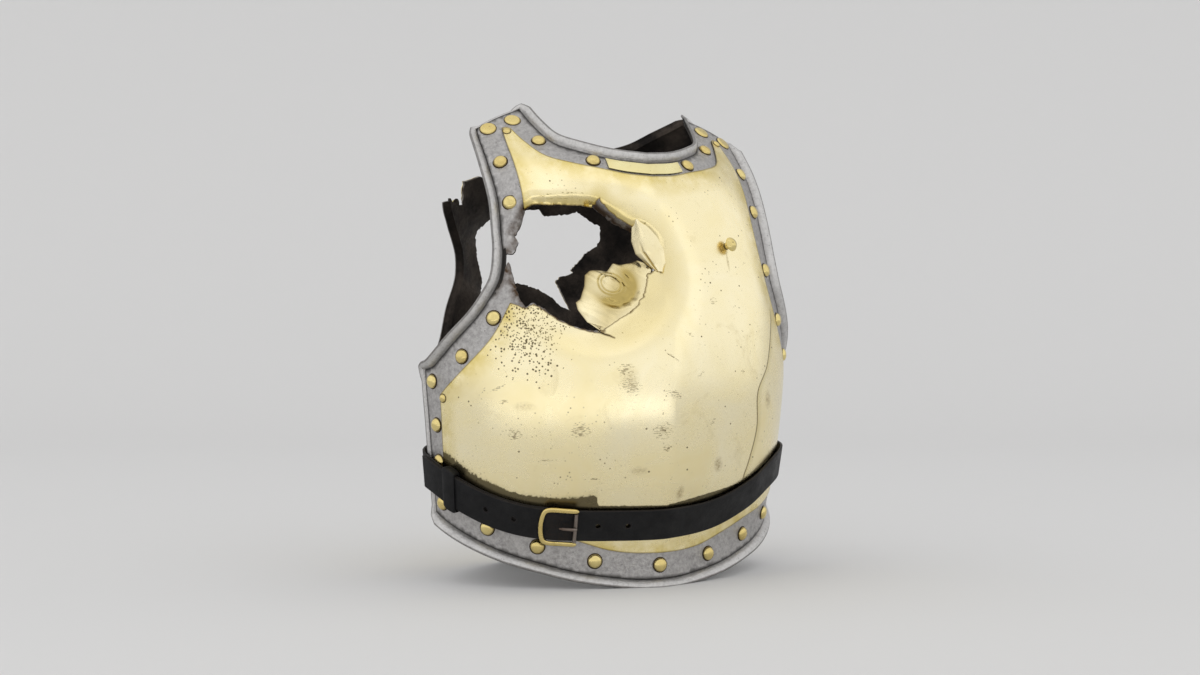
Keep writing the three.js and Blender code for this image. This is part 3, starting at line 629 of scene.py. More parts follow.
# ---------------------------------------------------------------- breastplate, brass facing
# A 1 mm skin of rolled brass, hammered over the steel and held by the rivets of the border. It is
# pale and polished, with smudges, dings and tarnish, and it is torn with the steel.
BREAST_FACING = {
    "bottom": [[0, 32.5], [8, 33], [16, 36.5], [26, 46], [38, 57.5], [50, 66], [62, 77], [75.5, 92]],
    "side": [[75.5, 92], [75.8, 126], [75, 177]],
    "arm": [[75, 177], [63, 202.5], [53.8, 227], [48.2, 252], [44.6, 275], [42.8, 300], [42, 325],
            [42.2, 345], [43.6, 367], [46.2, 401], [47.2, 424]],
    "tip": [[47.2, 424], [45.2, 425], [43.2, 424]],
    "neck": [[43.2, 424], [39, 410], [33.3, 396], [25, 389], [16.3, 384], [8, 379], [0, 377]],
}
# torn outline of the brass, which is gone from the strip of border beside the hole
FACING_HOLE = [
    [-122, 346], [-115, 350], [-89, 350], [-69, 349], [-57, 347], [-51, 356], [-48, 351], [-34, 339],
    [-20, 331], [-15, 327], [-5, 318], [2, 306], [3, 297], [1, 291], [-2, 288], [-5, 288], [-8, 274],
    [-10, 266], [-15, 262], [-15, 259], [-22, 253], [-32, 247], [-44, 240], [-54, 234], [-42, 228],
    [-56, 233], [-64, 234], [-78, 238], [-93, 244], [-108, 254], [-117, 259], [-124, 255], [-138, 260],
    [-141, 257], [-165, 258], [-165, 346],
]
GAP = 0.3  # between the facing and the steel
BRASS = 1.0  # thickness of the facing
BRASS_PALE = (0.96, 0.87, 0.60)
BRASS_WARM = (0.92, 0.80, 0.46)
BRASS_TARNISH = (0.36, 0.26, 0.08)


def brass_material(name, pale=BRASS_PALE, warm=BRASS_WARM, polish=0.20, old=0.25):
    """Polished brass: pale and warm by clouds, tarnish in patches of noise, rubbed scratches and pits."""
    material, tree, shader = new_material(name)
    marks = rub(tree, 220.0)
    coords = object_coords(tree)
    tone = blend(tree, marks["Cloud"], pale, warm)
    stain = ramp(tree, noise(tree, coords, 22.0, 8.0, 0.7, 1.2), 0.58, 0.74, 0.0, old)
    tone = blend(tree, stain, tone, BRASS_TARNISH)
    tone = blend(tree, times(tree, marks["Pit"], 0.7), tone, (0.12, 0.08, 0.04))
    shader.inputs["Metallic"].default_value = 1.0
    rough = maths(tree, "ADD", times(tree, marks["Cloud"], 0.12), polish)
    rough = maths(tree, "ADD", rough, times(tree, marks["Scratch"], 0.12))
    tree.links.new(rough, shader.inputs["Roughness"])
    bump(tree, shader, marks["Height"], 0.18, 0.0002)
    return material, tree, shader, tone


# height of the belt's upper edge round the plate, and how far its tarnish spreads above it
BELT_TARNISH = [
    [-90, 128, 14], [-74, 113, 13], [-60, 95, 10], [-45, 82, 8], [-33, 77.5, 9], [-25, 76, 12],
    [-21, 75.5, 15], [-20, 75.5, 3], [0, 75, 2.5], [30, 91, 2], [60, 121, 2], [90, 126, 2],
]
# line of an old dent on the wearer's left: height, distance round
DENT_LINE = [[99, 88], [112, 92], [144, 98], [178, 95], [203, 111], [246, 124]]
# Marks: place round, height, half length, half height, turn, darkness. Nicks are scratched bare.
NICKS = [
    (-144, 184, 9, 1.8, 0.5, 0.56), (-139, 172, 5, 2.6, 0.2, 0.56), (-158, 181, 4, 1.6, 0.9, 0.6),
    (-130, 143, 7, 6.0, 0.2, 0.62), (-75, 147, 9, 8.0, 0.1, 0.62), (-63, 103, 9, 0.7, 0.0, 1.0),
    (-39, 200, 8, 7.0, 0.5, 0.56), (-36, 186, 9, 10.0, 0.9, 0.56), (-3, 212, 7, 1.2, -0.7, 1.0),
    (-1, 178, 9, 4.0, -0.4, 0.56), (-9, 146, 10, 8.0, 0.3, 0.56), (-5, 130, 4, 3.0, 0.3, 0.9),
    (24, 196, 5, 2.5, 0.9, 0.43), (40, 262, 4, 5.0, 0.6, 0.43), (71, 197, 3, 2.0, 0.2, 1.0),
    (-100, 357, 14, 0.8, 0.25, 0.8), (-72, 360, 14, 0.8, 0.0, 0.9), (-85, 355, 26, 0.6, 0.05, 0.43),
    (38, 152, 6, 1.6, 0.9, 0.6), (-104, 120, 8, 1.4, 0.1, 0.5), (14, 232, 5, 1.5, -0.6, 0.6),
]
# Stains are soft brown smudges; the dark one at 61, 314 is painted shade beside the chest stud.
STAINS_AND_STUD_SHADE = [
    (50, 112, 6, 9.0, 0.2, 0.8), (12, 88, 5, 8.0, 0.0, 0.7), (-26, 110, 9, 5.0, 0.0, 0.4),
    (-121, 168, 12, 5.0, 0.0, 0.4), (64, 300, 1.8, 11.0, 0.0, 0.9), (-36, 192, 9, 14.0, 0.0, 0.35),
    (61, 314, 3.6, 4.2, 0.0, 1.0), (115, 170, 7, 11.0, 0.3, 0.6), (-40, 66, 60, 5.0, -0.1, 0.5),
]
# Dots of corrosion: their scale, the patch they thin out from (none for all over), inner and outer size.
DOTS = [
    (0.40, (-118, 230, 44, 48), 0.30, 0.44), (0.60, (-112, 238, 36, 34), 0.26, 0.40),
    (0.085, None, 0.05, 0.085),
]


def span(tree, flat, x, y, length, width, turn=0.0):
    """Distance from a place on the flat sheet, in half lengths of a turned ellipse."""
    place = mapped(tree, flat, (0, 0, turn), (length, width, 1), (x, y, 0), "TEXTURE")
    node = tree.nodes.new("ShaderNodeVectorMath")
    node.operation = "LENGTH"
    tree.links.new(place, node.inputs[0])
    return node.outputs["Value"]


def stained(tree, flat, x, y, length, width, turn):
    """Mask of one stain: an ellipse broken into wisps by noise."""
    near = ramp(tree, span(tree, flat, x, y, length, width, turn), 0.25, 1.0, 1.0, 0.0)
    return times(tree, near, ramp(tree, noise(tree, flat, 0.35, 5.0, 0.7), 0.30, 0.65))


def nicked(tree, flat, x, y, length, width, turn):
    """Mask of one nick: stretched noise cut off high leaves short strokes inside an ellipse."""
    near = ramp(tree, span(tree, flat, x, y, length, width, turn), 0.25, 1.0, 1.0, 0.0)
    thin = mapped(tree, flat, (0, 0, 0.7 - turn), (0.28, 1.1, 1))
    gate = maths(tree, "ADD", noise(tree, thin, 1.0, 3.0, 0.6, 0.4), times(tree, near, 0.12))
    return times(tree, ramp(tree, gate, 0.60, 0.64), maths(tree, "GREATER_THAN", near, 0.02))


facing_brass, tree, shader, tone = brass_material("facing_brass")
flat = shade(tree, "CombineXYZ", X=mark(tree, "flat_x"), Y=mark(tree, "flat_y")).outputs["Vector"]
drift = noise(tree, flat, 0.05, 5.0, 0.6)
# painted shade: darker, warmer gold in drifts along the facing's edges
painted_edge_shade = times(tree, ramp(tree, mark(tree, "edge"), 0.0, 22.0, 0.9, 0.0), ramp(tree, drift, 0.3, 0.6))
tone = blend(tree, painted_edge_shade, tone, (0.66, 0.52, 0.15))
tone = blend(tree, ramp(tree, mark(tree, "edge"), 0.0, 1.5, 0.8, 0.0), tone, (0.10, 0.07, 0.03))
# black grease and tarnish above the belt, with a ragged upper edge
rag = times(tree, noise(tree, flat, 0.22, 5.0, 0.65), 0.9)
band = maths(tree, "ADD", mark(tree, "belt"), rag)
tone = blend(tree, ramp(tree, band, 1.75, 1.15, 0.0, 0.30), tone, (0.34, 0.25, 0.07))
tone = blend(tree, ramp(tree, band, 1.42, 1.28, 0.0, 0.85), tone, (0.045, 0.034, 0.016))
# the old dent, painted and not modelled: a dark line along its crease, with painted shade in darker gold on
# one side of it
dent = mark(tree, "dent")
held = ramp(tree, mark(tree, "dent_end"), 0.0, 14.0, 1.0, 0.0)
side = times(tree, ramp(tree, dent, 0.0, 9.0, 0.5, 0.0), maths(tree, "GREATER_THAN", dent, 0.0))
tone = blend(tree, times(tree, side, held), tone, (0.60, 0.50, 0.20))
line = ramp(tree, maths(tree, "ABSOLUTE", dent), 0.5, 1.3, 0.8, 0.0)
tone = blend(tree, times(tree, line, held), tone, (0.16, 0.11, 0.04))
for mask, table, colour in ((nicked, NICKS, (0.13, 0.09, 0.04)), (stained, STAINS_AND_STUD_SHADE, (0.24, 0.16, 0.05))):
    for *place, dark in table:
        tone = blend(tree, times(tree, mask(tree, flat, *place), dark), tone, colour)
for scale, patch, low, high in DOTS:
    dots = shade(tree, "TexVoronoi", Vector=flat, Scale=scale)
    spot = ramp(tree, dots.outputs["Distance"], low, high, 1.0, 0.0)
    chance = shade(tree, "SeparateColor", Color=dots.outputs["Color"]).outputs["Red"]
    odds = ramp(tree, span(tree, flat, *patch), 0.1, 1.0, 0.9, 0.0) if patch else 0.45
    spot = times(tree, spot, maths(tree, "LESS_THAN", chance, odds))
    tone = blend(tree, times(tree, spot, 0.9), tone, (0.10, 0.07, 0.03))
# painted shade: duller, darker gold on the steep turn of the hollow, where its slope is greatest
tone = blend(tree, ramp(tree, mark(tree, "turned"), 0.25, 0.9, 0.0, 0.55), tone, (0.66, 0.54, 0.24))
# the rolled upper lip of the hole is darker, and every torn edge is dark
upper = ramp(tree, mark(tree, "flat_y"), 318.0, 338.0)
rolled = times(tree, ramp(tree, mark(tree, "near"), 1.0, 13.0, 0.75, 0.0), upper)
rolled = times(tree, rolled, ramp(tree, drift, 0.25, 0.6, 0.5, 1.0))
tone = blend(tree, rolled, tone, (0.60, 0.47, 0.13))
tone = blend(tree, ramp(tree, mark(tree, "near"), 0.2, 1.4, 0.85, 0.0), tone, (0.14, 0.09, 0.03))
tone = blend(tree, mark(tree, "inner"), tone, (0.10, 0.07, 0.04))
tree.links.new(tone, shader.inputs["Base Color"])
facing_hole = laid(breast, frayed(FACING_HOLE, 2.0, 0.3, 4), level=-100)
facing = metal_sheet("breast_facing", breast, BREAST_FACING, None, [], BRASS, GAP, facing_brass,
                     pitch=2.6, press=breast_press, torn=facing_hole)
mesh = facing.data
place = np.zeros((2, len(mesh.vertices)), np.float32)
for row, key in zip(place, ("flat_x", "flat_y")):
    mesh.attributes[key].data.foreach_get("value", row)
deg, z = place[0] / ARC, place[1]
belt = np.array(BELT_TARNISH, float)
edge_z, spread = np.interp(deg, belt[:, 0], belt[:, 1]), np.interp(deg, belt[:, 0], belt[:, 2])
line = np.array(DENT_LINE, float)
low, high = line[0, 0], line[-1, 0]
x = breast(deg, z)[:, 0]
steps = [dish(x + dx, z + dz) - dish(x - dx, z - dz) for dx, dz in ((0.5, 0), (0, 0.5))]
# per-point masks: tarnish above the belt, the old dent's line and its painted shade, and painted shade on
# the turn of the hollow
worn = {
    "belt": np.where(z < edge_z - 22, 3.0, (z - edge_z) / spread),
    "dent": place[0] - at(line, np.clip(z, low, high))[1],
    "dent_end": np.maximum(low - z, 0) + np.maximum(z - high, 0),
    "turned": np.hypot(*steps),
}
for key, values in worn.items():
    mesh.attributes.new(key, "FLOAT", "POINT").data.foreach_set("value", values.astype(np.float32))
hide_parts("breast_brass")
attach(facing, "root")

# ---------------------------------------------------------------- backplate
# A lighter steel plate of 1.8 mm, browned nearly black inside, burst open behind the wearer and
# torn away at the right shoulder, with its own brass facing and border rivets.
BACK_STEEL = 1.8
# outlines and rims, measured like those of the breastplate
BACK_PLATE = {
    "bottom": [[0, 7.7], [12, 7.7], [26, 20], [42, 37], [56, 50], [70, 59], [84, 63]],
    "side": [[84, 63], [84.5, 120], [84, 186]],
    "arm": [[84, 186], [64, 194], [50, 206], [43.5, 224], [39, 256], [34, 285], [33.3, 304],
            [35.2, 320], [43.8, 346], [50.7, 363], [57, 398], [62, 432]],
    "tip": [[62, 432], [56, 441], [50, 450]],
    "neck": [[50, 450], [36.5, 437], [25, 424], [12, 416.5], [0, 414]],
}
BACK_FACING = {
    "bottom": [[0, 31], [12, 32], [26, 43], [42, 60], [56, 73], [74, 85]],
    "side": [[74, 85], [74.5, 120], [73, 163]],
    "arm": [[73, 163], [56, 174], [42, 189], [34, 212], [30, 245], [25.5, 275], [24, 304],
            [26, 328], [34, 352], [41.5, 376], [48, 402], [52.5, 424]],
    "tip": [[52.5, 424], [51, 426.5], [49, 425.5]],
    "neck": [[49, 425.5], [36, 414.5], [25, 406], [12, 399], [0, 396]],
}
BACK_RIMS = {"bottom": (6, 35), "side": (2, 0), "arm": (6, 50), "tip": (1.2, 0), "neck": (6, 50)}
# exit hole seen along the path of the ball: x, z
BACK_HOLE = [
    [-87, 331], [-85, 338], [-71, 350], [-58, 352], [-44, 361], [-15, 363], [-8, 356], [21, 359],
    [28, 362], [37, 356], [47, 350], [55, 347], [56, 332], [53, 326], [42, 319], [33, 309], [24, 301],
    [27, 298], [17, 294], [11, 293], [6, 288], [15, 272],
    [21, 257], [10, 262], [1, 271], [-19, 281], [-38, 286], [-60, 280], [-74, 262], [-82, 269],
    [-79, 288], [-84, 308],
]
# everything inside this outline is torn away at the right shoulder
SHOULDER_TEAR = [
    [-160, 352], [-136, 363], [-126, 366], [-119, 361], [-110, 362], [-110, 384], [-92, 391], [-84, 389],
    [-72, 399], [-78, 412], [-66, 420], [-70, 436], [-60, 480], [-190, 480], [-190, 352],
]
back_hole = laid(back, frayed(BACK_HOLE, 2.0, 0.4, 5), level=105)
shoulder_tear = laid(back, frayed(SHOULDER_TEAR, 2.5, 0.4, 8), level=90)
back_press = press_of(back_hole, depth=2.0, reach=5.0)
backplate = metal_sheet("backplate", back, BACK_PLATE, BACK_RIMS, [back_hole], BACK_STEEL, -BACK_STEEL,
                        steel, pitch=4.2, press=back_press, torn=shoulder_tear)
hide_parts("back_steel")
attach(backplate, "root")
back_brass, tree, shader, tone = brass_material("back_facing_brass", old=0.5)
tone = blend(tree, ramp(tree, mark(tree, "edge"), 0.0, 2.0, 0.8, 0.0), tone, (0.10, 0.07, 0.03))
tone = blend(tree, mark(tree, "inner"), tone, (0.10, 0.07, 0.04))
tree.links.new(tone, shader.inputs["Base Color"])
back_facing = metal_sheet("back_facing", back, BACK_FACING, None, [back_hole], BRASS, GAP,
                          back_brass, pitch=4.2, press=back_press, torn=shoulder_tear)
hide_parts("back_brass")
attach(back_facing, "root")

# ---------------------------------------------------------------- border rivets
# Domed brass heads about 12 mm across, each closed over the border with a fine dark ring at its foot; larger
# flat ones at the shoulder ends, small ones at the facing corners.
RIVET_R, RIVET_H = 6.5, 4.3
HEADS = {  # radius, height, clearance under the head
    "dome": (RIVET_R, RIVET_H, 0.0),
    "low": (RIVET_R, RIVET_H, 0.2),
    "flat": (7.2, 1.8, 0.2),
    "small": (3.6, 2.2, GAP + BRASS),
}
# name, degrees round, height, kind
BREAST_RIVETS = [
    ("neck_1", 41.2, 433.5, "flat"), ("neck_2", 33.5, 411.5, "dome"), ("neck_3", 17.4, 391.6, "dome"),
    ("arm_1", 53.6, 424, "flat"), ("arm_2", 50.5, 389.8, "dome"), ("arm_3", 47.4, 351, "dome"),
    ("arm_4", 46.3, 294, "dome"), ("arm_5", 52.6, 246.4, "dome"), ("arm_6", 64.4, 212, "dome"),
    ("arm_7", 79.5, 189, "dome"), ("side_1", 79, 149, "dome"), ("side_2", 79, 115.5, "dome"),
    ("bottom_1", 78.5, 77, "dome"), ("bottom_2", 56.3, 56.5, "low"), ("bottom_3", 38.2, 40.5, "low"),
    ("bottom_4", 20, 26.6, "low"), ("bottom_5", 0, 21.5, "dome"),
    ("facing_top", 45.2, 420.5, "small"), ("facing_side", 73.6, 174, "small"),
]
rivet_brass, tree, shader, tone = brass_material(
    "rivet_brass", pale=(0.80, 0.68, 0.31), warm=(0.64, 0.49, 0.18), polish=0.17, old=0.5)
# the collar at each head's foot is darkened to a near-black ring
foot = ramp(tree, mark(tree, "rise"), 0.08, 0.26, 1.0, 0.0)
tree.links.new(blend(tree, foot, tone, (0.05, 0.035, 0.02)), shader.inputs["Base Color"])


def turned(place, normal, profile, sides):
    """Turned shape: radius and height rows spun round a normal standing at a place; closed poles."""
    side = np.cross(normal, [0.3, 0.2, 0.9])
    side /= np.linalg.norm(side)
    other = np.cross(normal, side)
    profile = np.asarray(profile, float)
    turn = np.linspace(0, 2 * np.pi, sides, endpoint=False)
    r, h = profile[1:-1, 0][:, None, None], profile[1:-1, 1][:, None, None]
    ring = np.cos(turn)[None, :, None] * side + np.sin(turn)[None, :, None] * other
    body = (place + ring * r + normal * h).reshape(-1, 3)
    n = len(profile) - 2
    faces = grid_faces(n, sides, wrap=True).tolist()
    low, high = n * sides, n * sides + 1
    k = np.arange(sides)
    nxt, top = (k + 1) % sides, (n - 1) * sides
    faces += np.column_stack([np.full(sides, low), nxt, k]).tolist()
    faces += np.column_stack([np.full(sides, high), top + k, top + nxt]).tolist()
    ends = [place + normal * profile[0, 1], place + normal * profile[-1, 1]]
    rise = np.concatenate([np.repeat(profile[1:-1, 1], sides), profile[[0, -1], 1]]) / profile[-1, 1]
    return np.concatenate([body, ends]), faces, rise


def standing(surface, deg, z, seat, profile, sides=28):
    """Turned shape standing square on a surface, lifted by its seat."""
    return turned(lifted(surface, deg, z, seat), outward(surface, deg, z), profile, sides)


def dome_profile(radius, height):
    """Low dome as a superellipse, with a short upright foot."""
    t = np.linspace(0, 1, 8)
    r = radius * np.cos(t * np.pi / 2) ** 0.82
    h = height * np.sin(t * np.pi / 2) ** 0.9
    collar = [[0, -0.2], [radius + 0.8, -0.2], [radius + 0.8, 0.1], [radius + 0.2, 0.3]]
    return np.concatenate([collar, np.column_stack([r, np.maximum(h, 0.35)])[:-1], [[0, height]]])


# section of the flat heads: radius, height
FLAT_HEAD = [
    [0, -0.2], [8.2, -0.2], [8.2, 0.1], [7.4, 0.3], [7.2, 0.9], [6.6, 1.4], [5.8, 1.6], [3.0, 1.8], [0, 1.8],
]
for name, deg, z, kind in BREAST_RIVETS:
    radius, tall, seat = HEADS[kind]
    for side in (1,) if deg == 0 else (-1, 1):
        label = "mid" if deg == 0 else "right" if side < 0 else "left"
        if name == "arm_4" and side < 0:  # torn out by the ball
            continue
        profile = FLAT_HEAD if kind == "flat" else dome_profile(radius, tall)
        points, faces, rise = standing(breast, side * deg, z, seat, profile)
        head = build(f"head_{name}_{label}", points / 1000, faces, rivet_brass, {"rise": rise}, 50)
        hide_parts(f"rivet_{name}_{label}")
        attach(head, "root")

# The backplate's rivets are one mesh: degrees round, height.
BACK_RIVETS = [
    (0, 20), (16, 21), (34, 40), (52, 58), (73, 72), (79, 105), (79, 145), (70, 177), (48, 195), (38, 224),
    (34, 256), (29, 290), (30.5, 325), (43, 360), (50, 392), (57.5, 428), (42, 433), (23, 414), (8, 406),
]
all_points, all_faces, all_rise = [], [], []
for deg, z in BACK_RIVETS:
    for side in (1,) if deg == 0 else (-1, 1):
        flat_place = np.array([[side * deg * ARC, z]])
        if inside(shoulder_tear, flat_place)[0] or inside(back_hole, flat_place)[0]:
            continue
        points, faces, rise = standing(back, side * deg, z, 0.0, dome_profile(RIVET_R, RIVET_H), 20)
        all_faces += [[i + sum(map(len, all_points)) for i in f] for f in faces]
        all_points.append(points)
        all_rise.append(rise)
back_heads = build("back_rivet_heads", np.concatenate(all_points) / 1000, all_faces, rivet_brass,
                   {"rise": np.concatenate(all_rise)}, 50)
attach(back_heads, "root")

# ---------------------------------------------------------------- chest stud
# Turned brass button on a stem, riveted through the wearer's left breast. It once held the end of
# the shoulder scales, which are lost.
STUD = [  # radius, height
    [0, -0.2], [3.4, -0.2], [3.3, 1], [3.0, 3], [3.3, 4.6], [6.2, 5.0], [6.7, 5.5], [6.7, 6.2], [6.2, 7.2],
    [4.6, 8.9], [2.6, 9.9], [1.2, 10.3], [0, 10.4],
]
points, faces, rise = standing(breast, 23.6, 314.0, GAP + BRASS, STUD, 36)
rise = np.clip(rise * 2, 0, 1)
stud = build("shoulder_scale_stud", points / 1000, faces, rivet_brass, {"rise": rise}, 40)
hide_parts("chest_stud")
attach(stud, "root")

# ---------------------------------------------------------------- label strip
# Thin plain strip of yellow brass, cut to the curve of the neck and fixed flat on the border
# under the neck rim, between two rivets.
strip_low = trace(BREAST_FACING["neck"], 1.0)
strip_high = trace(BREAST_PLATE["neck"], 1.0)
strip_deg = np.linspace(-13.2, 13.2, 41)
low_z = np.interp(np.abs(strip_deg), strip_low[::-1, 0] / ARC, strip_low[::-1, 1])
high_z = np.interp(np.abs(strip_deg), strip_high[::-1, 0] / ARC, strip_high[::-1, 1])
strip_z = low_z + (high_z - low_z) * np.linspace(0.14, 0.86, 9)[:, None]


def slab(outer, inner):
    """Two matching grids of points closed into a thin slab: outer face, inner face, four walls."""
    rows, cols = outer.shape[:2]
    n = rows * cols
    quads = grid_faces(rows, cols)
    k = np.arange(n).reshape(rows, cols)
    ring = np.concatenate([k[0, :-1], k[:-1, -1], k[-1, :0:-1], k[:0:-1, 0]])
    nxt = np.roll(ring, -1)
    walls = np.column_stack([nxt, ring, ring + n, nxt + n])
    points = np.concatenate([outer.reshape(-1, 3), inner.reshape(-1, 3)])
    return points, quads.tolist() + (quads[:, ::-1] + n).tolist() + walls.tolist()


strip_top, strip_low = (lifted(breast, strip_deg, strip_z, off) for off in (1.6, 0.8))
points, faces = slab(strip_top, strip_low)
strip_brass, tree, shader, tone = brass_material(
    "strip_brass", pale=(0.88, 0.81, 0.46), warm=(0.72, 0.60, 0.26), polish=0.24, old=0.5)
tree.links.new(tone, shader.inputs["Base Color"])
label_strip = build("label_strip", points / 1000, faces, strip_brass)
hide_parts("neck_plaque")
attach(label_strip, "root")

# ---------------------------------------------------------------- torn tongues
# Two flaps of plate that the ball left hanging in the entry hole: one curled inwards, one ear
# folded off the right edge. Both still carry their brass.
# free and root edges of the two flaps: x, y, z
CURLED_FREE = [
    [-59, -116, 236], [-65, -104, 243], [-71, -97, 254], [-71, -93, 261], [-66, -92, 264], [-61, -90, 276],
    [-60, -89, 286], [-55, -88, 290], [-48, -89, 291], [-38, -91, 290], [-35, -91, 294], [-33, -92, 297],
    [-26, -95, 296], [-19, -98, 297], [-12, -101, 300], [-9, -107, 298], [-7, -114, 293],
]
CURLED_ROOT = [
    [-58, -116, 234], [-47, -116.5, 239], [-35, -115.5, 246], [-24, -117, 253], [-13, -117, 264],
    [-11, -115.5, 273], [-5, -115.5, 290],
]
EAR_FREE = [
    [-4, -121, 290], [-9, -115, 295], [-18, -109, 305], [-21, -106, 317], [-21, -107, 331],
    [-20, -109, 336],
]
EAR_ROOT = [
    [1, -126, 288], [4, -126.5, 297], [3, -124.5, 309], [-3, -121.5, 322], [-11, -117.5, 332],
    [-19, -112, 338],
]
BRUISE = (-39, -98, 278)  # middle of the round bruise in the curled flap
tongue_brass, tree, shader, tone = brass_material(
    "tongue_brass", pale=(0.93, 0.84, 0.57), warm=(0.84, 0.72, 0.41), polish=0.22, old=0.5)
# the old mark: tarnish on the curled flap, and painted shade in the troughs and folds of both flaps
tone = blend(tree, mark(tree, "old"), tone, (0.44, 0.33, 0.10))
tone = blend(tree, mark(tree, "torn"), tone, (0.12, 0.08, 0.03))
tree.links.new(tone, shader.inputs["Base Color"])


def even(rows, n):
    """n points at even steps along the straight runs between rows."""
    rows = np.asarray(rows, float)
    key = walked(rows)
    return np.stack([np.interp(np.linspace(0, key[-1], n), key, rows[:, k]) for k in range(3)], -1)


def bruised(face):
    """Relief of the curled flap round its bruise: two raised rings, then a trough and a ridge that run round
    it on the side of the fold; also how dark each point is: tarnish, painted shade in the trough, and dark
    lines beside the rings."""
    dx, dz = face[..., 0] - BRUISE[0], face[..., 2] - BRUISE[2]
    r = np.hypot(dx * 0.92, dz)
    side = np.clip(0.35 + 0.65 * np.cos(np.arctan2(dz, dx) + 0.9), 0, 1)
    rings = 0.5 * np.exp(-(((r - 9.2) / 0.8) ** 2)) + 0.3 * np.exp(-(((r - 6.4) / 0.8) ** 2))
    folds = side * (1.6 * np.exp(-(((r - 25) / 3.2) ** 2)) - 2.2 * np.exp(-(((r - 17.5) / 3.4) ** 2)))
    ripple = 0.35 * np.sin(dx * 0.55 + dz * 0.2) * np.sin(dz * 0.45 - dx * 0.12)
    shade_and_tarnish = 0.9 * side * np.exp(-(((r - 17) / 4.5) ** 2)) + 0.8 * np.exp(-(((r - 10.4) / 0.7) ** 2))
    shade_and_tarnish = shade_and_tarnish + 0.7 * np.exp(-(((r - 7.8) / 0.7) ** 2)) + 0.3 / (1 + np.exp((r - 26) / 5))
    shade_and_tarnish = shade_and_tarnish + 0.25 * np.sin(dx * 0.16 - dz * 0.1)
    return rings + folds + ripple, np.clip(shade_and_tarnish + 0.18, 0, 0.95)


def folded(face):
    """A swell across the ear with one sharp fold beside its free edge, deepest towards the foot; the fold is
    also darkened as painted shade.
    """
    rows, cols = face.shape[:2]
    s, t = np.linspace(0, 1, rows)[:, None], np.linspace(0, 1, cols)
    fold = np.exp(-(((t - 0.20 - 0.12 * s) / 0.045) ** 2)) * np.clip(1.5 - 2.4 * s, 0, 1)
    return 1.4 * np.sin(np.pi * t) - 1.4 * fold, 0.9 * fold


def tongue(name, node, free, root, bow, thick, relief):
    """Flap between a ragged free edge and a root edge, ruled straight across and bowed by a sine,
    with its relief pressed in along the normal."""
    rows, cols = 130, 90
    t = np.linspace(0, 1, cols)
    face = even(root, rows)[:, None] * t[:, None] + even(free, rows)[:, None] * (1 - t)[:, None]
    face[..., 1] += bow * np.sin(np.pi * t)
    normal = np.cross(np.gradient(face, axis=1), np.gradient(face, axis=0))
    normal /= np.linalg.norm(normal, axis=-1, keepdims=True) + 1e-9
    # the relief's second value is the flap's darkening: tarnish, and painted shade in its troughs and folds
    depth, old = relief(face)
    face = face + normal * depth[..., None] + [0, SHIFT_Y, LIFT]
    points, faces = slab(face, face - normal * thick)
    torn = np.tile(0.9 * np.exp(-t * 34), (rows, 1)).ravel()
    marks = {"torn": np.concatenate([torn, np.clip(torn + 0.6, 0, 1)]), "old": np.tile(old.ravel(), 2)}
    flap = build(name, points / 1000, faces, tongue_brass, marks)
    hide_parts(node)
    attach(flap, "root")


tongue("curled_flap", "tongue_curled", CURLED_FREE, CURLED_ROOT, -1.5, 1.8, bruised)
tongue("ear_flap", "tongue_ear", EAR_FREE, EAR_ROOT, -3.0, 1.3, folded)

# ---------------------------------------------------------------- belt
# Black harness leather 29 mm wide, in two straps riveted to the flanks. The long strap runs round
# the waist, through the buckle and under the keeper; its surface is matt with a worn grain.
STRAP_HALF, STRAP = 14.5, 2.5
# course of each strap: degrees round, height of its middle, clearance from the waist line
BUCKLE_STRAP = [
    [-114, 116, -6.4], [-106, 115, -8.4], [-99, 114, -8.2], [-93, 112.5, -2.6], [-86, 109, 3.6],
    [-79, 103, 5], [-68, 90, 4.2], [-56, 76.5, 2.4], [-44, 67, 2.1], [-33, 62.8, 2.1],
]
LONG_STRAP = [
    [-84, 107.5, 8.2], [-79, 103, 8.2], [-68, 90, 7.4], [-56, 76.5, 5.6], [-44, 67, 5.3], [-33, 62.8, 5.3],
    [-26, 61.5, 4], [-18, 60.5, 3.1], [0, 60.5, 2.9], [18, 66, 3.1], [36, 83, 3.2], [49, 99, 3.6],
    [62, 107, 4.4], [79, 111, 5.2], [86, 112.5, 4], [93, 114, -2.6], [99, 115, -8.2], [106, 116, -8.4],
    [114, 117, -6.4],
]
BELT_HOLES = [-55.8, -46.0, -19.6, -10.6]  # degrees round


def hoop(deg, z):
    """Line of the waist: the breast's section in front, an ellipse of the back's depth behind."""
    _, w, d, shift, keel, b = at(TORSO, z)
    x = w * np.sin(np.radians(deg))
    c = np.cos(np.radians(deg))
    y = shift - np.where(c > 0, d, b) * c - keel * np.exp(-np.sqrt(x * x + 16) / 40)
    return np.stack([x, y + SHIFT_Y, z + LIFT], -1)


def strap_face(rows):
    """Surface of a strap's underside: the waist line, its height and clearance from the rows."""
    def face(deg, a):
        _, z, rest = at(rows, deg)
        return lifted(hoop, deg, z + a, rest)
    return face


leather, tree, shader = new_material("black_leather")
coords = object_coords(tree)
creases = shade(tree, "TexVoronoi", Vector=coords, Scale=900.0)
patina = ramp(tree, noise(tree, coords, 60.0, 6.0, 0.7), 0.35, 0.7)
tone = blend(tree, patina, (0.0025, 0.0025, 0.003), (0.008, 0.008, 0.0085))
worn = ramp(tree, mark(tree, "edge"), 0.0, 1.2, 0.5, 0.0)
tone = blend(tree, worn, tone, (0.020, 0.016, 0.014))
tone = blend(tree, ramp(tree, mark(tree, "inner"), 0.7, 1.0), tone, (0.016, 0.010, 0.008))
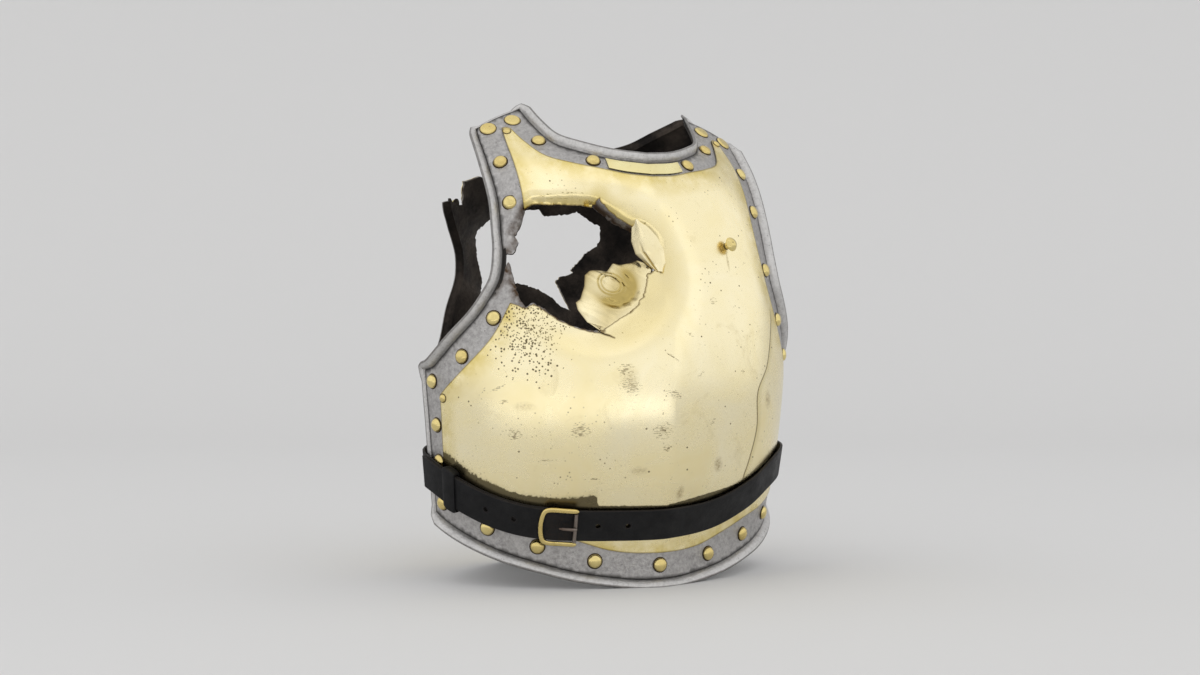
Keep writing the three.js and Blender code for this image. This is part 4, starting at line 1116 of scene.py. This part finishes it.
# painted highlight: lighter brown streaks on the ridges where the strap is creased over the buckle's bar
creased = maths(tree, "COMPARE", mark(tree, "flat_x"), -31.0 * ARC)
creased.node.inputs[2].default_value = 13.0
streaks = ramp(tree, noise(tree, coords, 260.0, 4.0, 0.7, 1.5), 0.40, 0.65)
tone = blend(tree, times(tree, creased, streaks), tone, (0.014, 0.009, 0.007))
tree.links.new(tone, shader.inputs["Base Color"])
tree.links.new(ramp(tree, patina, 0, 1, 0.62, 0.44), shader.inputs["Roughness"])
shader.inputs["Specular IOR Level"].default_value = 0.22
grain = maths(tree, "ADD", creases.outputs["Distance"], noise(tree, coords, 500.0, 3.0))
bump(tree, shader, grain, 0.35, 0.0003)


def strap(name, node, rows, start, stop, holes=()):
    """Strap: flat outline with square ends, punched holes, laid round the waist, edges rounded."""
    t = np.linspace(start * ARC, stop * ARC, int((stop - start) * ARC / 3))
    low = np.column_stack([t, np.full(len(t), -STRAP_HALF)])
    high = np.column_stack([t[::-1], np.full(len(t), STRAP_HALF)])
    loop = np.concatenate([low, [[stop * ARC, 0]], high, [[start * ARC, 0]]])
    turn = np.linspace(0, 2 * np.pi, 14, endpoint=False)
    rings = [np.column_stack([deg * ARC + 2.1 * np.cos(turn), 2.1 * np.sin(turn)]) for deg in holes]
    points, faces, marks, flat = sheet(strap_face(rows), loop, rings, 3.0, STRAP, 0)
    marks["edge"] = np.min([distance(loop, flat)] + [distance(r, flat) for r in rings], axis=0)
    piece = build(name, points / 1000, faces, leather, marks)
    soften = piece.modifiers.new("rounded_edges", "BEVEL")
    soften.width = 0.0006
    soften.segments = 3
    soften.limit_method = "ANGLE"
    soften.angle_limit = math.radians(50)
    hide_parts(node)
    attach(piece, "root")


strap("buckle_strap", "belt_buckle_strap", BUCKLE_STRAP, -114, -33)
strap("long_strap", "belt_long_strap", LONG_STRAP, -84, 114, BELT_HOLES)

# ---------------------------------------------------------------- keeper
# Narrow loop of the same leather, sewn closed and slid over both straps: it holds the free end of
# the long strap down on the buckle strap.
around = np.array([  # section of the loop: across the strap, off the strap
    [-15, 0.2], [0, 0.35], [15, 0.2], [16.2, 1.0], [16.6, 3], [16.2, 5.4], [15, 6.4], [0, 6.7],
    [-15, 6.4], [-16.2, 5.4], [-16.6, 3], [-16.2, 1.0],
])
along = np.linspace(0, 1, 6)[:-1, None]
ring_in = np.concatenate([a + (b - a) * along for a, b in zip(around, np.roll(around, -1, axis=0))])
ring_mid = ring_in.mean(0)
ring_out = ring_in + np.sign(ring_in - ring_mid) * [1.0, 1.3]
keeper_deg = np.linspace(-72.5, -67.5, 9)


def keeper_side(ring, swell):
    """The loop's section carried along the strap, swelling in the middle of its width."""
    deg = np.repeat(keeper_deg[:, None], len(ring), 1)
    _, z, rest = at(BUCKLE_STRAP, deg)
    full = 1 + swell * np.sqrt(np.clip(1 - np.linspace(-1, 1, len(keeper_deg)) ** 2, 0, 1))[:, None]
    across = ring[None, :, 0] * (1 + (full - 1) * 0.4)
    off = ring_mid[1] + (ring[None, :, 1] - ring_mid[1]) * full
    return lifted(hoop, deg, z + across, rest + off - 0.6)


outer_ring, inner_ring = keeper_side(ring_out, 0.22), keeper_side(ring_in, 0.0)
rows, cols = outer_ring.shape[:2]
tube = np.concatenate([outer_ring, inner_ring[::-1]])
faces = grid_faces(2 * rows, cols, wrap=True)
seam, last = np.arange(cols), (2 * rows - 1) * cols
nxt = (seam + 1) % cols
faces = np.concatenate([faces, np.column_stack([last + seam, last + nxt, nxt, seam])])
keeper = build("strap_keeper", tube.reshape(-1, 3) / 1000, faces[:, ::-1].tolist(), leather,
               {"edge": np.full(2 * rows * cols, 3.0), "inner": np.zeros(2 * rows * cols),
                "flat_x": np.zeros(2 * rows * cols)})
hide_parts("belt_keeper")
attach(keeper, "root")

# ---------------------------------------------------------------- buckle
# Cast brass frame bowed at its back, with a steel roller across its open side and a steel prong
# that passes through a hole of the long strap and lies on the leather.
BUCKLE_AT, BUCKLE_OFF = -31.5, 8.7  # degrees round, clearance from the waist line
BUCKLE_HALF, BUCKLE_FRONT, BUCKLE_BAR, BUCKLE_THICK = 18.0, 17.0, 4.2, 3.0
_, buckle_z, _ = at(LONG_STRAP, BUCKLE_AT)
buckle_n = outward(hoop, BUCKLE_AT, buckle_z)
ahead = hoop(BUCKLE_AT + 1, buckle_z - 0.2) - hoop(BUCKLE_AT - 1, buckle_z + 0.2)
buckle_v = np.cross(buckle_n, ahead / np.linalg.norm(ahead))
buckle_v /= np.linalg.norm(buckle_v)
buckle_u = np.cross(buckle_v, buckle_n)
buckle_p = lifted(hoop, BUCKLE_AT, buckle_z, BUCKLE_OFF)


def rod(path, wide, tall, sides=20):
    """Bar with a rounded section carried along a path in the buckle's own axes; flat caps at its ends."""
    path = np.asarray(path, float)
    ahead = np.gradient(path, axis=0)
    ahead /= np.linalg.norm(ahead, axis=1, keepdims=True)
    up = np.array([0.0, 0.0, 1.0])
    side = np.cross(ahead, up)
    side /= np.linalg.norm(side, axis=1, keepdims=True)
    lift = np.cross(side, ahead)
    turn = np.linspace(0, 2 * np.pi, sides, endpoint=False)
    c, s = np.cos(turn), np.sin(turn)
    box_c, box_s = np.sign(c) * np.abs(c) ** 0.7, np.sign(s) * np.abs(s) ** 0.7
    wide = np.broadcast_to(wide, len(path)) / 2
    tall = np.broadcast_to(tall, len(path)) / 2
    across = side[:, None] * (wide[:, None] * box_c)[..., None]
    local = path[:, None] + across + lift[:, None] * (tall[:, None] * box_s)[..., None]
    rows = len(path)
    faces = grid_faces(rows, sides, wrap=True).tolist()
    faces += [list(range(sides))[::-1], [(rows - 1) * sides + k for k in range(sides)]]
    return (buckle_p + local @ np.stack([buckle_u, buckle_v, buckle_n])).reshape(-1, 3), faces


def smooth_path(corners, n):
    """Points along a smooth curve through the corners."""
    corners = np.asarray(corners, float)
    key = walked(corners)
    return at(np.column_stack([key, corners]), np.linspace(0, key[-1], n))[1:].T


edge_v = BUCKLE_HALF - BUCKLE_BAR / 2
frame_path = smooth_path([
    [BUCKLE_FRONT, -edge_v, 1.5], [5, -edge_v, 1.5], [-8, -edge_v, 1.5], [-13.2, -edge_v + 1.6, 1.5],
    [-15.6, -9, 1.5], [-16.6, 0, 1.5], [-15.6, 9, 1.5], [-13.2, edge_v - 1.6, 1.5], [-8, edge_v, 1.5],
    [5, edge_v, 1.5], [BUCKLE_FRONT, edge_v, 1.5],
], 90)
ease = np.clip(np.minimum(np.arange(90), np.arange(90)[::-1]) / 5.0, 0.0, 1.0)
bulge = np.sqrt(1 - (1 - ease) ** 2) * 0.9 + 0.1
points, faces = rod(frame_path, BUCKLE_BAR * bulge, (BUCKLE_THICK + 0.4) * bulge)
buckle_frame = build("buckle_bow", points / 1000, faces, rivet_brass, {"rise": np.ones(len(points))})
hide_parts("buckle_frame")
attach(buckle_frame, "root")

iron, tree, shader = new_material("buckle_iron")
marks = rub(tree, 500.0)
tone = blend(tree, marks["Cloud"], (0.38, 0.36, 0.33), (0.14, 0.10, 0.08))
tree.links.new(tone, shader.inputs["Base Color"])
shader.inputs["Metallic"].default_value = 0.95
tree.links.new(ramp(tree, marks["Cloud"], 0, 1, 0.30, 0.5), shader.inputs["Roughness"])
bump(tree, shader, marks["Height"], 0.4, 0.0004)
reach = np.linspace(-(edge_v - BUCKLE_BAR / 2 - 0.3), edge_v - BUCKLE_BAR / 2 - 0.3, 24)
path = np.column_stack([np.full(24, BUCKLE_FRONT - 2.4), reach, np.full(24, 1.8)])
points, faces = rod(path, 3.4, 3.4)
roller = build("buckle_roller", points / 1000, faces, iron)
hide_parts("buckle_bar")
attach(roller, "root")
path = smooth_path([[BUCKLE_FRONT - 1, 0, 5.2], [BUCKLE_FRONT - 6, 0, 5.6], [BUCKLE_FRONT - 12, 0, 5.4],
                    [BUCKLE_FRONT - 17, 0, 5.0]], 26)
taper = [0, 2, 20, 25]
wide = np.interp(np.arange(26), taper, [1.6, 2.8, 2.4, 1.0])
tall = np.interp(np.arange(26), taper, [1.4, 2.5, 2.2, 0.9])
points, faces = rod(path, wide, tall)
prong = build("buckle_tongue", points / 1000, faces, iron)
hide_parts("buckle_prong")
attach(prong, "root")

# ---------------------------------------------------------------- belt rivets
# Two small domed brass rivets, closed through the ends of the straps to fix them to the flanks of
# the backplate.
for label, deg, rows in (("right", -110, BUCKLE_STRAP), ("left", 110, LONG_STRAP)):
    _, z, rest = at(rows, deg)
    points, faces, rise = standing(hoop, deg, z, rest + STRAP, dome_profile(5.0, 3.0))
    head = build(f"strap_end_rivet_{label}", points / 1000, faces, rivet_brass, {"rise": rise}, 50)
    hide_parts(f"belt_rivet_{label}")
    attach(head, "root")
